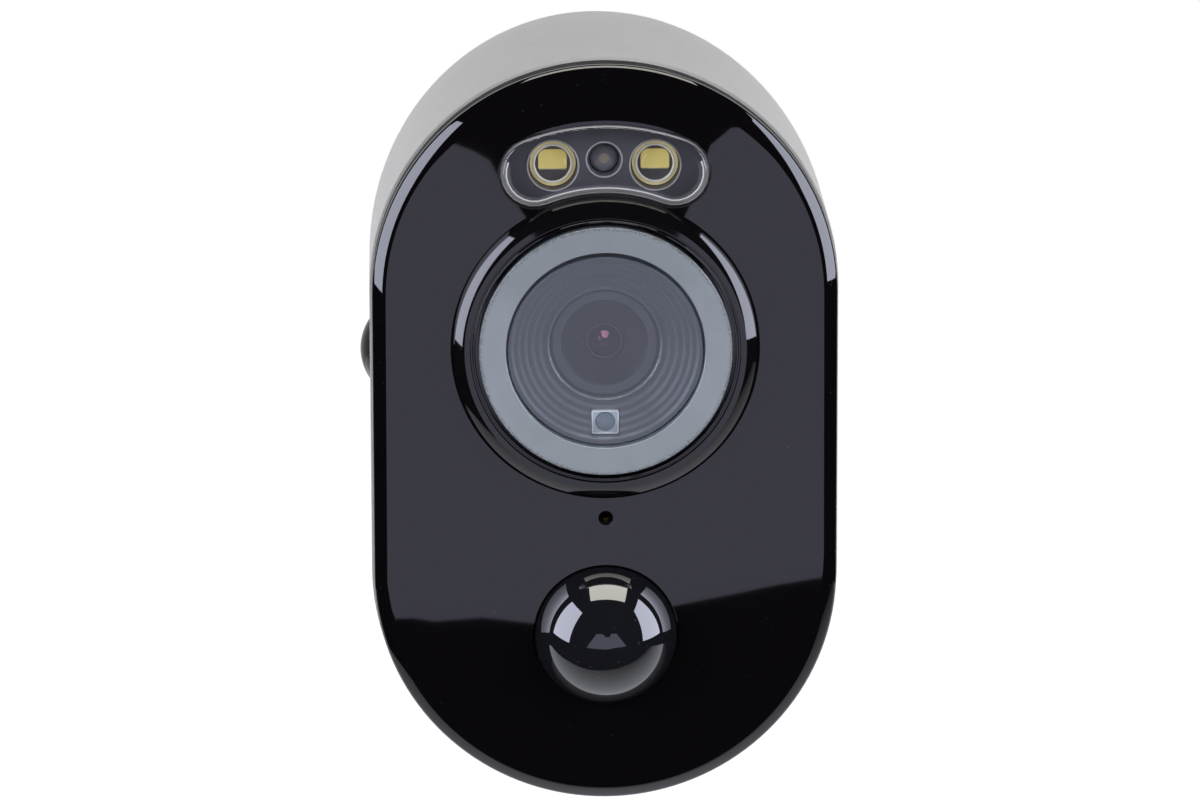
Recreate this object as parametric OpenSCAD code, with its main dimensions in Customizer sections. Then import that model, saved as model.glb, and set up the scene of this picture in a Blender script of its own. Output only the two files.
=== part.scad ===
// Battery security camera on a tilting wall bracket.
// Millimetres. The wall is the plane y = 0, the camera looks towards -Y and +Z is up.

/* [Front cover] */
// Width across the glossy front cover
cover_w = 56; // [54:0.5:60]
// Height of the front cover
cover_h = 90.8; // [88:0.2:98]
// Thickness of the cover plate
cover_t = 2.4; // [2:0.1:3]
// Depth of the cover including its rim
cover_d = 4.2; // [3.6:0.1:5]
// Thickness of the cover rim
rim_t = 1.9; // [1.4:0.1:2.4]
// Depth and width of the rounded front edge
edge_r = 1.6; // [0.8:0.1:2]
// Thickness of the weather seal behind the cover
seal_t = 0.6; // [0.4:0.1:1.2]
// How far the weather seal sits in from the cover edge
seal_in = 0.8; // [0.4:0.1:1.2]

/* [Housing] */
// How far the housing stands proud of the cover all round
housing_out = 0.3; // [0.1:0.05:0.8]
// Wall thickness of the housing
wall_t = 2.4; // [1.8:0.1:3]
// Thickness of the flat rear wall
rear_t = 3.2; // [2.8:0.1:4]
// Depth at which the housing starts to taper
straight_d = 25.6; // [22:0.2:32]
// Share of the rear curve used before the flat rear wall cuts it
rear_cut = 0.884; // [0.86:0.004:0.9]
// Width of the bevel round the flat rear wall
rear_bevel = 1; // [0.4:0.1:1.4]
// Radius of the screw bosses inside the housing
boss_r = 3; // [2.4:0.1:3.4]
// Length of the screw bosses inside the housing
boss_len = 16; // [10:0.5:18]
// Radius of the speaker grille holes
grille_hole_r = 0.75; // [0.5:0.05:0.9]
// Spacing of the speaker grille holes
grille_pitch = 2.4; // [2.2:0.1:3]

/* [Lens window] */
// Distance from the top of the cover down to the lens centre
lens_from_top = 34.4; // [33.6:0.1:35.6]
// Outer radius of the raised lens bezel
bezel_r = 18.6; // [18:0.1:19.4]
// Radius of the flat land on the bezel
bezel_land_r = 16.7; // [16.4:0.1:17]
// Height of the bezel in front of the cover
bezel_h = 1.75; // [1.2:0.05:2.4]
// Outer radius of the glass ring
ring_r = 15.2; // [14.6:0.1:15.4]
// Height of the glass ring in front of the cover
ring_h = 2.2; // [1.8:0.1:2.8]
// Radius of the clear cover glass
glass_r = 11.95; // [11.6:0.05:12.4]
// Height of the cover glass in front of the cover
glass_h = 1.4; // [1.2:0.1:1.8]
// Thickness of the cover glass
glass_t = 1.2; // [0.8:0.1:1.3]
// Depth of each step of the stepped baffle
step_d = 0.5; // [0.35:0.05:0.6]

/* [Lens module] */
// Radius of the lens barrel
barrel_r = 6.6; // [6.2:0.1:6.8]
// Length of the lens barrel
barrel_len = 16; // [14.5:0.5:16.5]
// Radius of the front lens element
front_lens_r = 2.2; // [1.8:0.1:2.8]
// Width and height of the lens holder
holder_w = 17; // [16:0.5:19]
// Length of the lens holder
holder_len = 10.8; // [10.4:0.1:11.5]
// Width and height of the sensor board
sensor_board_w = 26; // [24:0.5:28]
// Width and height of the image sensor
sensor_w = 8; // [6.5:0.1:8.5]
// Thickness of the image sensor
sensor_t = 1.2; // [0.8:0.1:1.4]
// Width of the sliding infrared filter frame
filter_w = 12; // [11:0.1:12.5]
// Height of the sliding infrared filter frame
filter_h = 8.4; // [8:0.1:9]
// Thickness of the infrared filter frame
filter_t = 1; // [0.8:0.05:1.2]
// Travel of the infrared filter
filter_travel = 4; // [3:0.1:4.4]

/* [Spotlight] */
// Middle radius of the curved spotlight window about the lens
window_mid_r = 23; // [23:0.1:23.6]
// Half the width of the spotlight window band
window_half = 4.3; // [3.8:0.1:4.3]
// Angle from the middle of the window to each end
window_angle = 21.4; // [19:0.2:23]
// Distance of the window surface below the cover face
window_recess = 0.25; // [0.1:0.05:0.5]
// Sideways distance of each spotlight lamp
lamp_x = 6.15; // [5.9:0.05:6.6]
// Height of the spotlight lamps above the lens centre
lamp_rise = 22; // [21.6:0.1:22.4]
// Radius of each reflector cup
cup_r = 3.04; // [2.9:0.02:3.2]
// Radius of the yellow lamp face
lamp_r = 2.67; // [2.3:0.01:2.7]
// Radius of the clear lamp lens
lamp_lens_r = 2.1; // [1.8:0.05:2.2]
// Radius of the daylight sensor
daylight_r = 1.7; // [1.4:0.05:1.8]
// Height of the daylight sensor above the lens centre
daylight_rise = 22.7; // [22.2:0.1:23.2]
// Depth of the spotlight tray
tray_t = 2; // [1.8:0.1:2.6]

/* [Infrared lamp] */
// Distance of the infrared lamp below the lens centre
ir_drop = 9.8; // [9.6:0.1:10]
// Width of the infrared lamp package
ir_w = 3.3; // [2.9:0.1:3.3]
// Radius of the infrared lamp lens
ir_lens_r = 1.2; // [0.9:0.05:1.3]

/* [Motion sensor and microphone] */
// Clear distance from the microphone hole down to the motion dome
dome_gap = 6.14; // [5.6:0.02:8]
// Radius of the motion dome
dome_r = 8.6; // [8:0.1:9.2]
// How far the dome stands out of the cover
dome_out = 6.4; // [5.8:0.1:7]
// Wall thickness of the dome
dome_t = 0.9; // [0.7:0.1:1.2]
// Radius of the motion sensor can
can_r = 4.6; // [4:0.1:4.8]
// Height of the motion sensor can
can_h = 4.1; // [3.4:0.1:4.4]
// Clear distance from the lens bezel down to the microphone hole
mic_gap = 2.46; // [2.2:0.02:2.8]
// Radius of the microphone hole
mic_r = 0.6; // [0.4:0.05:0.7]
// Radius of the rubber boot behind the microphone hole
mic_boot_r = 2.6; // [2.4:0.1:2.8]

/* [Boards and battery] */
// Thickness of the small circuit boards
board_t = 1; // [0.8:0.1:1.2]
// Thickness of the main circuit board
main_board_t = 1.6; // [1.2:0.1:1.8]
// Clear margin between the main board and the housing wall
main_margin = 3.9; // [3.6:0.1:5]
// Thickness of the inner chassis plate
chassis_t = 2; // [1.6:0.1:2.4]
// Radius of a battery cell
cell_r = 9.1; // [8.9:0.05:9.2]
// How far the battery cells reach past the straight sides, both ends together
cell_reach = 30.2; // [26:0.2:31]
// Thickness of the battery cradle wall
cradle_t = 1.4; // [1:0.1:1.6]
// Radius of the speaker
speaker_r = 8; // [7:0.1:8.2]
// Height of the speaker basket
speaker_h = 3.8; // [3:0.1:4.4]
// Thickness of the heat spreader
spreader_t = 1.8; // [1.2:0.1:2]
// Width of the heat spreader
spreader_w = 22; // [16:0.5:28]
// Height of the heat spreader
spreader_h = 28; // [20:0.5:34]
// Length of the port board
port_len = 13.6; // [13.4:0.1:16]
// Clear depth between the battery cells and the port board
port_gap = 3.55; // [2:0.05:12]
// Radius of the small screw heads
screw_head_r = 1.8; // [1.6:0.1:2]
// Height of the small screw heads
screw_head_h = 1.2; // [0.9:0.1:1.3]
// Radius of the small screws
screw_r = 1; // [0.8:0.05:1.1]
// How far the small screws bite into their bosses
screw_bite = 8; // [5:0.5:9]
// Width of the wireless antenna strip
antenna_w = 13; // [8:0.5:14]
// Width of the flat cable to the front boards
cable_w = 10; // [8:0.5:10.5]
// Width of the flat cable to the image sensor
sensor_cable_w = 8; // [6:0.5:9]
// Thickness of the flat cables
cable_t = 0.3; // [0.2:0.05:0.4]
// Drop of the image sensor's cable below the lens centre
sensor_cable_drop = 11.5; // [11.3:0.1:12]

/* [Port bay] */
// Height of the port bay centre above the centre of the upper arc
bay_rise = 0.1; // [-0.5:0.1:0.6]
// Width of the port bay
bay_w = 18.6; // [18.4:0.1:19]
// Height of the port bay
bay_h = 11.6; // [11:0.1:12.2]
// Depth of the port bay floor below the flap seat
bay_depth = 6.5; // [6:0.1:7]
// Thickness of the port flap
flap_t = 1.5; // [1.4:0.1:1.7]
// How far the flap overlaps the bay on each side
flap_lap = 1; // [0.7:0.1:1.1]
// Radius of the flap hinge pins
flap_pin_r = 0.45; // [0.35:0.05:0.55]
// Width of the charging socket
usb_w = 8.94; // [8.94:0.01:8.98]
// Height of the charging socket
usb_h = 3.2; // [3.1:0.05:3.26]
// Length of the charging socket
usb_len = 7.3; // [6.5:0.1:8]
// Radius of the reset button
reset_r = 1.15; // [0.9:0.05:1.3]
// Travel of the power switch
switch_travel = 2; // [1.5:0.1:2.2]

/* [Mounting thread] */
// Rise of the mounting thread above the centre of the lower arc
mount_rise = 7.3; // [7:0.1:7.6]
// Radius of the quarter inch mounting stud
stud_r = 3.175; // [3.1:0.005:3.2]
// Length of the stud in front of the pivot head
stud_len = 14; // [12:0.5:14.5]
// Outer radius of the brass thread insert
insert_r = 4.6; // [4.4:0.1:5]
// Length of the brass thread insert
insert_len = 9; // [8.5:0.5:10]

/* [Bracket] */
// Radius of the wall plate
plate_r = 26; // [24:0.5:27]
// Thickness of the wall plate in the middle
plate_t = 6.8; // [6:0.1:8]
// Diameter of the wall screw circle
screw_circle_d = 38; // [35:0.5:40]
// Radius of the wall screw holes
wall_hole_r = 2.1; // [1.8:0.1:2.6]
// Radius of the swivel spigot
spigot_r = 5; // [4.5:0.1:5.5]
// How far the swivel screw's washer laps over the spigot
washer_lap = 2.4; // [2:0.1:2.6]
// Radius of the swivel screw's head
swivel_head_r = 3; // [2.6:0.1:3.2]
// Height of the swivel screw's head
swivel_head_h = 1.4; // [1:0.1:1.6]
// Distance from the wall to the tilt pivot
pivot_reach = 38; // [37:0.5:44]
// Distance from the tilt pivot to the flat rear wall of the camera
pivot_to_body = 18; // [17:0.5:22]
// Radius of the arm's round neck
neck_r = 7.5; // [6.5:0.1:8]
// Radius of the fork ears
ear_r = 8.2; // [7.6:0.1:8.8]
// Thickness of each fork ear
ear_t = 6; // [5:0.1:6.5]
// Half the thickness of the tilting tongue
tongue_half = 4.5; // [4:0.1:5]
// Thickness of the tilt friction washers
washer_t = 0.4; // [0.3:0.05:0.6]
// Radius of the clamp bolt
bolt_r = 2.5; // [2:0.1:3]
// Radius of the clamp knob
knob_r = 7.1; // [6.6:0.1:7.6]
// Distance from the middle plane to the tip of the knob
knob_reach = 29.9; // [29:0.1:32]
// Radius of the lock ring
lock_r = 11.5; // [10.5:0.1:11.8]
// Thickness of the lock ring
lock_t = 5; // [4:0.1:5.4]
// Thickness of the rubber pad on the lock ring
pad_t = 1; // [0.6:0.1:1.2]

/* [Clearances] */
// Clearance between neighbouring parts
fit_gap = 0.1; // [0.06:0.01:0.14]
// Radial clearance of turning and sliding parts
run_gap = 0.06; // [0.04:0.005:0.08]

/* [Hidden] */
$fn = 72;
// Stadium outline: two arcs joined by straight sides
arc_c = (cover_h - cover_w) / 2;
cover_r = cover_w / 2;
housing_r = cover_r + housing_out;
inner_r = housing_r - wall_t;
housing_d0 = cover_d + seal_t;
lens_z = cover_h / 2 - lens_from_top;
lamp_z = lens_z + lamp_rise;
daylight_z = lens_z + daylight_rise;
mic_z = lens_z - bezel_r - mic_gap;
dome_z = mic_z - dome_r - dome_gap;
// The dome is the cap of a larger sphere, whose rim sits on a slightly wider skirt
dome_rim_r = dome_r - fit_gap / 2;
dome_sphere_r = (pow(dome_rim_r, 2) + pow(dome_out, 2)) / (2 * dome_out);
dome_sphere_d = dome_sphere_r - dome_out;
dome_in = dome_rim_r - dome_t - 2 * fit_gap;
bay_z = arc_c + bay_rise;
mount_drop = arc_c - mount_rise;
cell_len = 2 * arc_c + cell_reach;
pivot_y = -pivot_reach;
// Front stack, depths behind the cover face
flange_t = 0.8;
flange_w = 1;
tray_d0 = cover_t + flange_t + fit_gap;
front_board_d0 = tray_d0 + tray_t + fit_gap / 2;
front_board_d1 = front_board_d0 + board_t;
chassis_d0 = front_board_d1 + fit_gap;
chassis_d1 = chassis_d0 + chassis_t;
chassis_r = min(inner_r, cover_r - rim_t) - 0.3;
chassis_rim = 1.2;
baffle_r = glass_r - 0.05;
ring_in = glass_r + 0.05;
cable_z = lens_z + window_mid_r + window_half;
tray_x = window_mid_r * sin(window_angle) + window_half + flange_w;
shelf_in = glass_r + fit_gap;
bezel_skirt_r = bezel_r - 1.3;
groove_r = (bezel_land_r + ring_r + 0.6) / 2;
groove_w = 0.27;
groove_d = 0.4;
glass_back = glass_t - glass_h;
baffle_end = 4.2;
barrel_d0 = 2.8;
barrel_d1 = barrel_d0 + barrel_len;
holder_d0 = chassis_d1 + 4.4;
holder_d1 = holder_d0 + holder_len;
sensor_board_d1 = holder_d1 + board_t + 0.2;
filter_d1 = holder_d1 - sensor_t - 1.3;
filter_d0 = filter_d1 - filter_t - 2 * run_gap;
main_d0 = sensor_board_d1 + 1.5;
main_d1 = main_d0 + main_board_t;
main_r = inner_r - main_margin;
cradle_d0 = main_d1 + 2.1;
cell_d = cradle_d0 + cradle_t + cell_r + fit_gap;
cell_x = cell_r + 0.5;
cell_z1 = cell_len / 2;
boss_angle = 40;
boss_c = inner_r - 2.3;
boss_x = boss_c * cos(boss_angle);
boss_z = arc_c + boss_c * sin(boss_angle);
post_x = main_r - 5;
post_z = arc_c + 7.6;
speaker_d = chassis_d1 + 1 + speaker_r;
// The rear of the housing follows from what stands inside it
port_d0 = cell_d + cell_r + port_gap;
floor_t = 1;
floor_d0 = port_d0 + port_len;
floor_d1 = floor_d0 + floor_t;
seat_d = floor_d1 + bay_depth;
body_d = seat_d + flap_t + fit_gap;
taper_len = (body_d - straight_d) / rear_cut;
inner_len = taper_len - rear_t;
inner_end = body_d - rear_t;
face_y = -(pivot_reach + pivot_to_body + body_d);
speaker_z0 = -arc_c - sqrt(pow(inner_r, 2) - pow(speaker_r, 2)) + fit_gap;
// Port bay, depths behind the cover face
bay_x1 = bay_w / 2;
bay_z0 = bay_z - bay_h / 2;
bay_z1 = bay_z + bay_h / 2;
panel_t = 0.9;
port_board_z = bay_z - 0.5;
port_top = port_board_z + 1.2;
usb_x = -bay_x1 + panel_t + usb_w / 2 + 0.1;
usb_z = port_top + usb_h / 2;
card_w = 11;
card_t = 0.8;
card_len = 15;
card_x = -bay_x1 + panel_t + card_w / 2 + 0.7;
card_z = port_board_z - 0.9;
card_out = 2.4;
switch_x = bay_x1 - panel_t - 6.2;
switch_z = port_top + 1.3;
reset_x = bay_x1 - panel_t - reset_r - 1;
reset_z = port_board_z - 1.7;
flap_x1 = bay_x1 + flap_lap;
flap_z0 = bay_z0 - flap_lap;
hinge_z = bay_z1 + flap_lap;
hinge_d = seat_d + fit_gap / 2 + flap_t / 2;
flap_pin_x = flap_x1 + 0.9;
insert_bore_r = stud_r + 0.075;
// Bracket
plate_web = 3.6;
plate_side = plate_t * 0.42;
swivel_pad_t = 0.4;
arm_y0 = -(plate_t + swivel_pad_t + 2 * 0.05);
arm_flange_r = 12;
plate_land_r = arm_flange_r + 1.2;
arm_flange_t = 3.2;
spigot_end = -(plate_t - plate_web) + fit_gap;
slot_half = tongue_half + washer_t + fit_gap;
ear_x1 = slot_half + ear_t;
tongue_r = ear_r - 0.2;
slot_back_y = pivot_y + tongue_r + 0.6;
head_y0 = -(pivot_reach + pivot_to_body - pad_t - lock_t - 2 * fit_gap);
lock_y1 = head_y0 - fit_gap;
head_flange_t = 2.4;
nut_af = bolt_r * 3.2;
bolt_head_t = 3;
knob_x0 = ear_x1 + 0.3;
knob_center = knob_reach - knob_r;
knob_insert_r = bolt_r + 1.5;

// Placement of everything that rides on the camera: depth 0 is the cover face
module at_body() {
  translate([0, face_y, mount_drop]) children();
}

// Placement about the lens axis
module at_lens() {
  at_body() translate([0, 0, lens_z]) children();
}

// Turns a radius and depth outline about the depth axis
module turned() {
  rotate([-90, 0, 0]) rotate_extrude() children();
}

// Round bar along the depth axis
module rod_y(r, y0, y1) {
  translate([0, y0, 0]) rotate([-90, 0, 0]) cylinder(r = r, h = y1 - y0);
}

// Round bar along X
module rod_x(r, x0, x1) {
  translate([x0, 0, 0]) rotate([0, 90, 0]) cylinder(r = r, h = x1 - x0);
}

// Round bar along Z
module rod_z(r, z0, z1) {
  translate([0, 0, z0]) cylinder(r = r, h = z1 - z0);
}

// Box between two corners
module block(x0, x1, y0, y1, z0, z1) {
  translate([x0, y0, z0]) cube([x1 - x0, y1 - y0, z1 - z0]);
}

// Ring along the depth axis
module ring_y(r1, r0, y0, y1) {
  difference() {
    rod_y(r1, y0, y1);
    rod_y(r0, y0 - 1, y1 + 1);
  }
}

// Straight-sided stadium plate
module pill(r, y0, y1) {
  for (s = [-1, 1]) translate([0, 0, s * arc_c]) rod_y(r, y0, y1);
  block(-r, r, y0, y1, -arc_c, arc_c);
}

// Sweeps a radius and depth outline round the stadium
module pill_sweep() {
  for (s = [-1, 1]) translate([0, 0, s * arc_c]) turned() children();
  linear_extrude(height = 2 * arc_c, center = true) {
    children();
    mirror([1, 0]) children();
  }
}

// Copies to the four screw places
module at_four(x, z) {
  for (i = [-1, 1]) for (k = [-1, 1]) translate([i * x, 0, k * z]) children();
}

// Outline of a curved band about the lens axis with round ends
function band_outline(half) = concat(
  [for (i = [0:24]) (window_mid_r + half) * turn_in(window_angle * (i / 12 - 1))],
  [for (i = [1:11]) window_mid_r * turn_in(window_angle) + half * turn_in(window_angle + i * 15)],
  [for (i = [24:-1:0]) (window_mid_r - half) * turn_in(window_angle * (i / 12 - 1))],
  [for (i = [1:11]) window_mid_r * turn_in(-window_angle) + half * turn_in(180 - window_angle + i * 15)]);
function turn_in(a) = [sin(a), cos(a)];

// Plate in the shape of the curved band
module band(half, y0, y1) {
  translate([0, y1, lens_z]) rotate([90, 0, 0]) linear_extrude(height = y1 - y0)
    polygon(band_outline(half));
}

// Plate behind the curved window, cut straight at both sides
module lamp_plate(y0, y1) {
  w = window_half + flange_w;
  intersection() {
    translate([0, 0, lens_z]) ring_y(window_mid_r + w, window_mid_r - w, y0, y1);
    block(-tray_x, tray_x, y0, y1, lens_z, cover_h / 2);
  }
}

// Outer and inner radius of the housing shell at a depth
function out_r(d) = d <= straight_d ? housing_r
  : housing_r * sqrt(1 - pow((d - straight_d) / taper_len, 2));
function in_r(d) = d <= straight_d ? inner_r
  : inner_r * sqrt(1 - pow((d - straight_d) / inner_len, 2));

// Filled half outline of the housing's outside
module outer_outline() {
  steps = 18;
  d1 = body_d - rear_bevel;
  polygon(concat(
    [[0, housing_d0], [housing_r - 0.4, housing_d0], [housing_r, housing_d0 + 0.4]],
    [for (i = [0:steps]) let (d = straight_d + (d1 - straight_d) * i / steps) [out_r(d), d]],
    [[out_r(d1) - 2.2 * rear_bevel, body_d], [0, body_d]]));
}

// Filled half outline of the housing's inside
module inner_outline() {
  steps = 14;
  polygon(concat(
    [[0, housing_d0 - 1], [inner_r, housing_d0 - 1]],
    [for (i = [0:steps]) let (d = straight_d + (inner_end - straight_d) * i / steps) [in_r(d), d]],
    [[0, inner_end]]));
}

module front_cover() {
  color("#141317") at_body() difference() {
    pill_sweep() polygon(concat([[0, 0]],
      [for (a = [0:22.5:90]) [cover_r - edge_r * (1 - sin(a)), edge_r * (1 - cos(a))]],
      [[cover_r, cover_d], [0, cover_d]]));
    pill(cover_r - rim_t, cover_t, cover_d + 1);
    translate([0, 0, lens_z]) rod_y(bezel_skirt_r + fit_gap, -1, cover_t + 1);
    band(window_half + fit_gap / 2, -1, cover_t + 1);
    translate([0, 0, dome_z]) rod_y(dome_r + fit_gap, -1, cover_t + 1);
    translate([0, 0, mic_z]) rod_y(mic_r, -1, cover_t + 1);
    translate([0, 0, mic_z]) turned()
      polygon([[0, -0.01], [mic_r + 0.32, -0.01], [mic_r, 0.4], [0, 0.4]]);
  }
}

module lens_bezel() {
  run = bezel_r - bezel_land_r;
  color("#101014") at_lens() turned()
    polygon(concat([for (a = [0:15:90]) [bezel_land_r + run * cos(a), -bezel_h * sin(a)]],
      [[groove_r + groove_w / 2, -bezel_h], [groove_r + groove_w / 2, groove_d - bezel_h],
      [groove_r - groove_w / 2, groove_d - bezel_h], [groove_r - groove_w / 2, -bezel_h],
      [ring_r + 0.6, -bezel_h], [ring_r + 0.6, 0.6], [shelf_in, 0.6],
      [shelf_in, cover_t], [bezel_skirt_r, cover_t], [bezel_skirt_r, 0]]));
}

module glass_ring() {
  color([0.58, 0.62, 0.68]) at_lens() turned()
    polygon([[ring_in, 0.55], [ring_in, -ring_h + 0.15], [ring_in + 0.15, -ring_h],
      [ring_r - 0.3, -ring_h], [ring_r, -ring_h + 0.3], [ring_r, 0.55]]);
}

module cover_glass() {
  color([0.7, 0.75, 0.8, 0.35]) at_lens() rod_y(glass_r, -glass_h, glass_back);
}

module lens_baffle() {
  s = step_d;
  d = glass_back + 0.4;
  color("#2a2b31") at_lens() difference() {
    turned() polygon([[baffle_r, glass_back + 0.02], [baffle_r - 0.7, glass_back + 0.02],
      [baffle_r - 0.7, d], [baffle_r - 1.5, d], [baffle_r - 1.5, d + s], [baffle_r - 2.3, d + s],
      [baffle_r - 2.3, d + 2 * s], [baffle_r - 3.2, d + 2 * s], [baffle_r - 3.2, d + 3 * s],
      [baffle_r - 4.1, d + 3 * s], [baffle_r - 4.1, d + 4 * s], [barrel_r + run_gap, d + 4 * s],
      [barrel_r + run_gap, baffle_end], [baffle_r, baffle_end]]);
    block(-ir_w / 2 - fit_gap, ir_w / 2 + fit_gap, -1, baffle_end + 1,
      -ir_drop - ir_w / 2 - fit_gap, -ir_drop + ir_w / 2 + fit_gap);
  }
}

module lens_barrel() {
  color("#1c1c20") at_lens() turned()
    polygon([[barrel_r, barrel_d0], [barrel_r - 1.5, barrel_d0], [front_lens_r + 0.1, barrel_d0 + 1],
      [front_lens_r + 0.1, barrel_d0 + 2.6], [barrel_r - 2, barrel_d0 + 3.6],
      [barrel_r - 2, barrel_d1], [barrel_r, barrel_d1]]);
}

module lens_elements() {
  dome = front_lens_r * 1.25;
  color([0.45, 0.3, 0.5, 0.5]) at_lens() {
    rod_y(front_lens_r + 0.02, barrel_d0 + 1.3, barrel_d0 + 2.5);
    translate([0, barrel_d0 + 1.31, 0]) intersection() {
      translate([0, dome * 0.6, 0]) sphere(r = dome);
      rod_y(front_lens_r, -front_lens_r, 0.2);
    }
    rod_y(barrel_r - 2.05, barrel_d0 + 5, barrel_d0 + 7.2);
    rod_y(barrel_r - 2.05, barrel_d0 + 9, barrel_d0 + 11);
  }
}

module lens_holder() {
  w = holder_w / 2;
  color("#232329") at_lens() difference() {
    block(-w, w, holder_d0, holder_d1, -w, w);
    rod_y(barrel_r + run_gap, holder_d0 - 1, holder_d1 + 1);
    block(-w - 1, w + 1, filter_d0, filter_d1, -filter_h / 2 - run_gap, filter_h / 2 + run_gap);
    block(-w + 1.5, w - 1.5, filter_d1, holder_d1 + 1, -w + 1.5, w - 1.5);
  }
}

module ir_cut_filter() {
  x0 = -filter_w / 2 - filter_travel / 2;
  color("#8fa9b0") at_lens() difference() {
    block(x0, x0 + filter_w, filter_d0 + run_gap, filter_d1 - run_gap, -filter_h / 2, filter_h / 2);
    translate([x0 + filter_w + filter_h / 2 - filter_w, 0, 0]) rod_y(filter_h / 2 - 1, 0, holder_d1);
  }
}

module ir_cut_actuator() {
  x0 = holder_w / 2 + fit_gap;
  color("#9a6a3a") at_lens() {
    block(x0, x0 + 4, filter_d0 - 3.4, filter_d0 - 0.4, -4, 4);
    translate([x0 + 2, 0, 0]) rod_y(1.2, filter_d0 - 0.41, holder_d1);
  }
}

module image_sensor() {
  w = sensor_w / 2;
  color("#3a4450") at_lens() block(-w, w, holder_d1 - sensor_t, holder_d1, -w, w);
}

module sensor_board() {
  w = sensor_board_w / 2;
  color("#0f4d33") at_lens() difference() {
    block(-w, w, holder_d1, sensor_board_d1, -w, w);
    at_four(w - 2, w - 2) rod_y(screw_r, holder_d1 - 1, sensor_board_d1 + 1);
  }
}

module ir_led() {
  w = ir_w / 2;
  color("#8e979f") at_lens() translate([0, 0, -ir_drop]) {
    block(-w, w, 1.2, baffle_end, -w, w);
    translate([0, 1.25, 0]) intersection() {
      sphere(r = ir_lens_r);
      rod_y(ir_lens_r, -ir_lens_r, 0.2);
    }
  }
}

module ir_board() {
  color("#0f4d33") at_lens() ring_y(baffle_r, barrel_r + 0.4, baffle_end, baffle_end + board_t);
}

module spotlight_window() {
  color([0.5, 0.52, 0.56, 0.35]) at_body() {
    band(window_half - fit_gap / 2, window_recess, cover_t + flange_t);
    band(window_half + flange_w, cover_t + fit_gap / 2, cover_t + flange_t);
  }
}

module spotlight_tray() {
  y1 = tray_d0 + tray_t;
  color("#3a3a42") at_body() difference() {
    lamp_plate(tray_d0, y1);
    for (s = [-1, 1]) translate([s * lamp_x, 0, lamp_z]) rod_y(lamp_r + fit_gap / 2, tray_d0 - 1, y1 + 1);
    for (s = [-1, 1]) translate([s * lamp_x, tray_d0 - 0.01, lamp_z]) rotate([-90, 0, 0])
      cylinder(r1 = cup_r, r2 = lamp_r, h = tray_t * 0.8);
    translate([0, 0, daylight_z]) rod_y(daylight_r + fit_gap, tray_d0 - 1, y1 + 1);
  }
}

module spotlight_leds() {
  color("#c9b96f") at_body() for (s = [-1, 1]) translate([s * lamp_x, 0, lamp_z]) {
    rod_y(lamp_r, front_board_d0 - 0.5, front_board_d0);
    translate([0, front_board_d0 - 0.45, 0]) intersection() {
      translate([0, lamp_lens_r * 0.6, 0]) sphere(r = lamp_lens_r * 1.1662);
      rod_y(lamp_lens_r, -lamp_lens_r, 0.2);
    }
  }
}

module daylight_sensor() {
  color("#5a5a62") at_body() translate([0, 0, daylight_z]) {
    rod_y(daylight_r, front_board_d0 - 1.2, front_board_d0);
  }
}

module spotlight_board() {
  color("#0f4d33") at_body() lamp_plate(front_board_d0, front_board_d1);
}

module pir_dome() {
  color("#0c0c10") at_body() translate([0, 0, dome_z]) {
    r = dome_sphere_r;
    difference() {
      translate([0, dome_sphere_d, 0]) sphere(r = r);
      translate([0, dome_sphere_d, 0]) sphere(r = r - dome_t);
      block(-r, r, 0, 2 * r, -r, r);
    }
    ring_y(dome_r, dome_in, 0, cover_t + flange_t);
    ring_y(dome_r + flange_w, dome_in, cover_t + fit_gap / 2, cover_t + flange_t);
  }
}

module pir_retainer() {
  color("#2a2a2e") at_body() translate([0, 0, dome_z])
    ring_y(dome_r + flange_w, dome_in + 0.2, cover_t + flange_t + fit_gap / 2, front_board_d0);
}

module pir_sensor() {
  color("#b9bcc0") at_body() translate([0, 0, dome_z]) {
    rod_y(can_r, front_board_d0 - can_h, front_board_d0);
    rod_y(can_r + 0.4, front_board_d0 - 0.6, front_board_d0);
  }
}

module motion_board() {
  x1 = dome_r + flange_w + 1.2;
  color("#0f4d33") at_body()
    block(-x1, x1, front_board_d0, front_board_d1, dome_z - can_r - 1.4, mic_z + mic_boot_r + 0.4);
}

module microphone() {
  color("#c8a95a") at_body() translate([0, 0, mic_z])
    block(-1.75, 1.75, front_board_d0 - 1, front_board_d0, -1.35, 1.35);
}

module mic_boot() {
  color("#1a1a1a") at_body() translate([0, 0, mic_z])
    ring_y(mic_boot_r, mic_r + 0.4, cover_t + fit_gap / 2, front_board_d0 - 1 - fit_gap / 2);
}

module inner_chassis() {
  color("#3c3d42") at_body() difference() {
    union() {
      pill(chassis_r, chassis_d0, chassis_d1);
      difference() {
        pill(chassis_r, cover_t + fit_gap, chassis_d0 + 0.1);
        pill(chassis_r - chassis_rim, cover_t, chassis_d0 + 1);
      }
      at_four(post_x, post_z) rod_y(screw_r + 1.4, chassis_d1 - 0.1, main_d0);
      translate([0, 0, lens_z]) at_four(sensor_board_w / 2 - 2, sensor_board_w / 2 - 2)
        rod_y(1.9, chassis_d1 - 0.1, holder_d1);
    }
    translate([0, 0, lens_z]) rod_y(barrel_r + 1.2, chassis_d0 - 1, chassis_d1 + 1);
    at_four(boss_x, boss_z) rod_y(screw_r + 0.15, chassis_d0 - 1, chassis_d1 + 1);
    at_four(boss_x, boss_z) rod_y(screw_head_r + 0.3, cover_t, chassis_d0);
    translate([0, 0, dome_z]) rod_y(dome_r + flange_w + 2 * fit_gap, cover_t, chassis_d0);
    at_four(post_x, post_z) rod_y(screw_r, main_d0 - screw_bite * 0.6 - 1, main_d0 + 1);
    block(-6, 6, chassis_d0 - 1, chassis_d1 + 1, cable_z - 0.7, cable_z + 0.7);
  }
}

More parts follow.
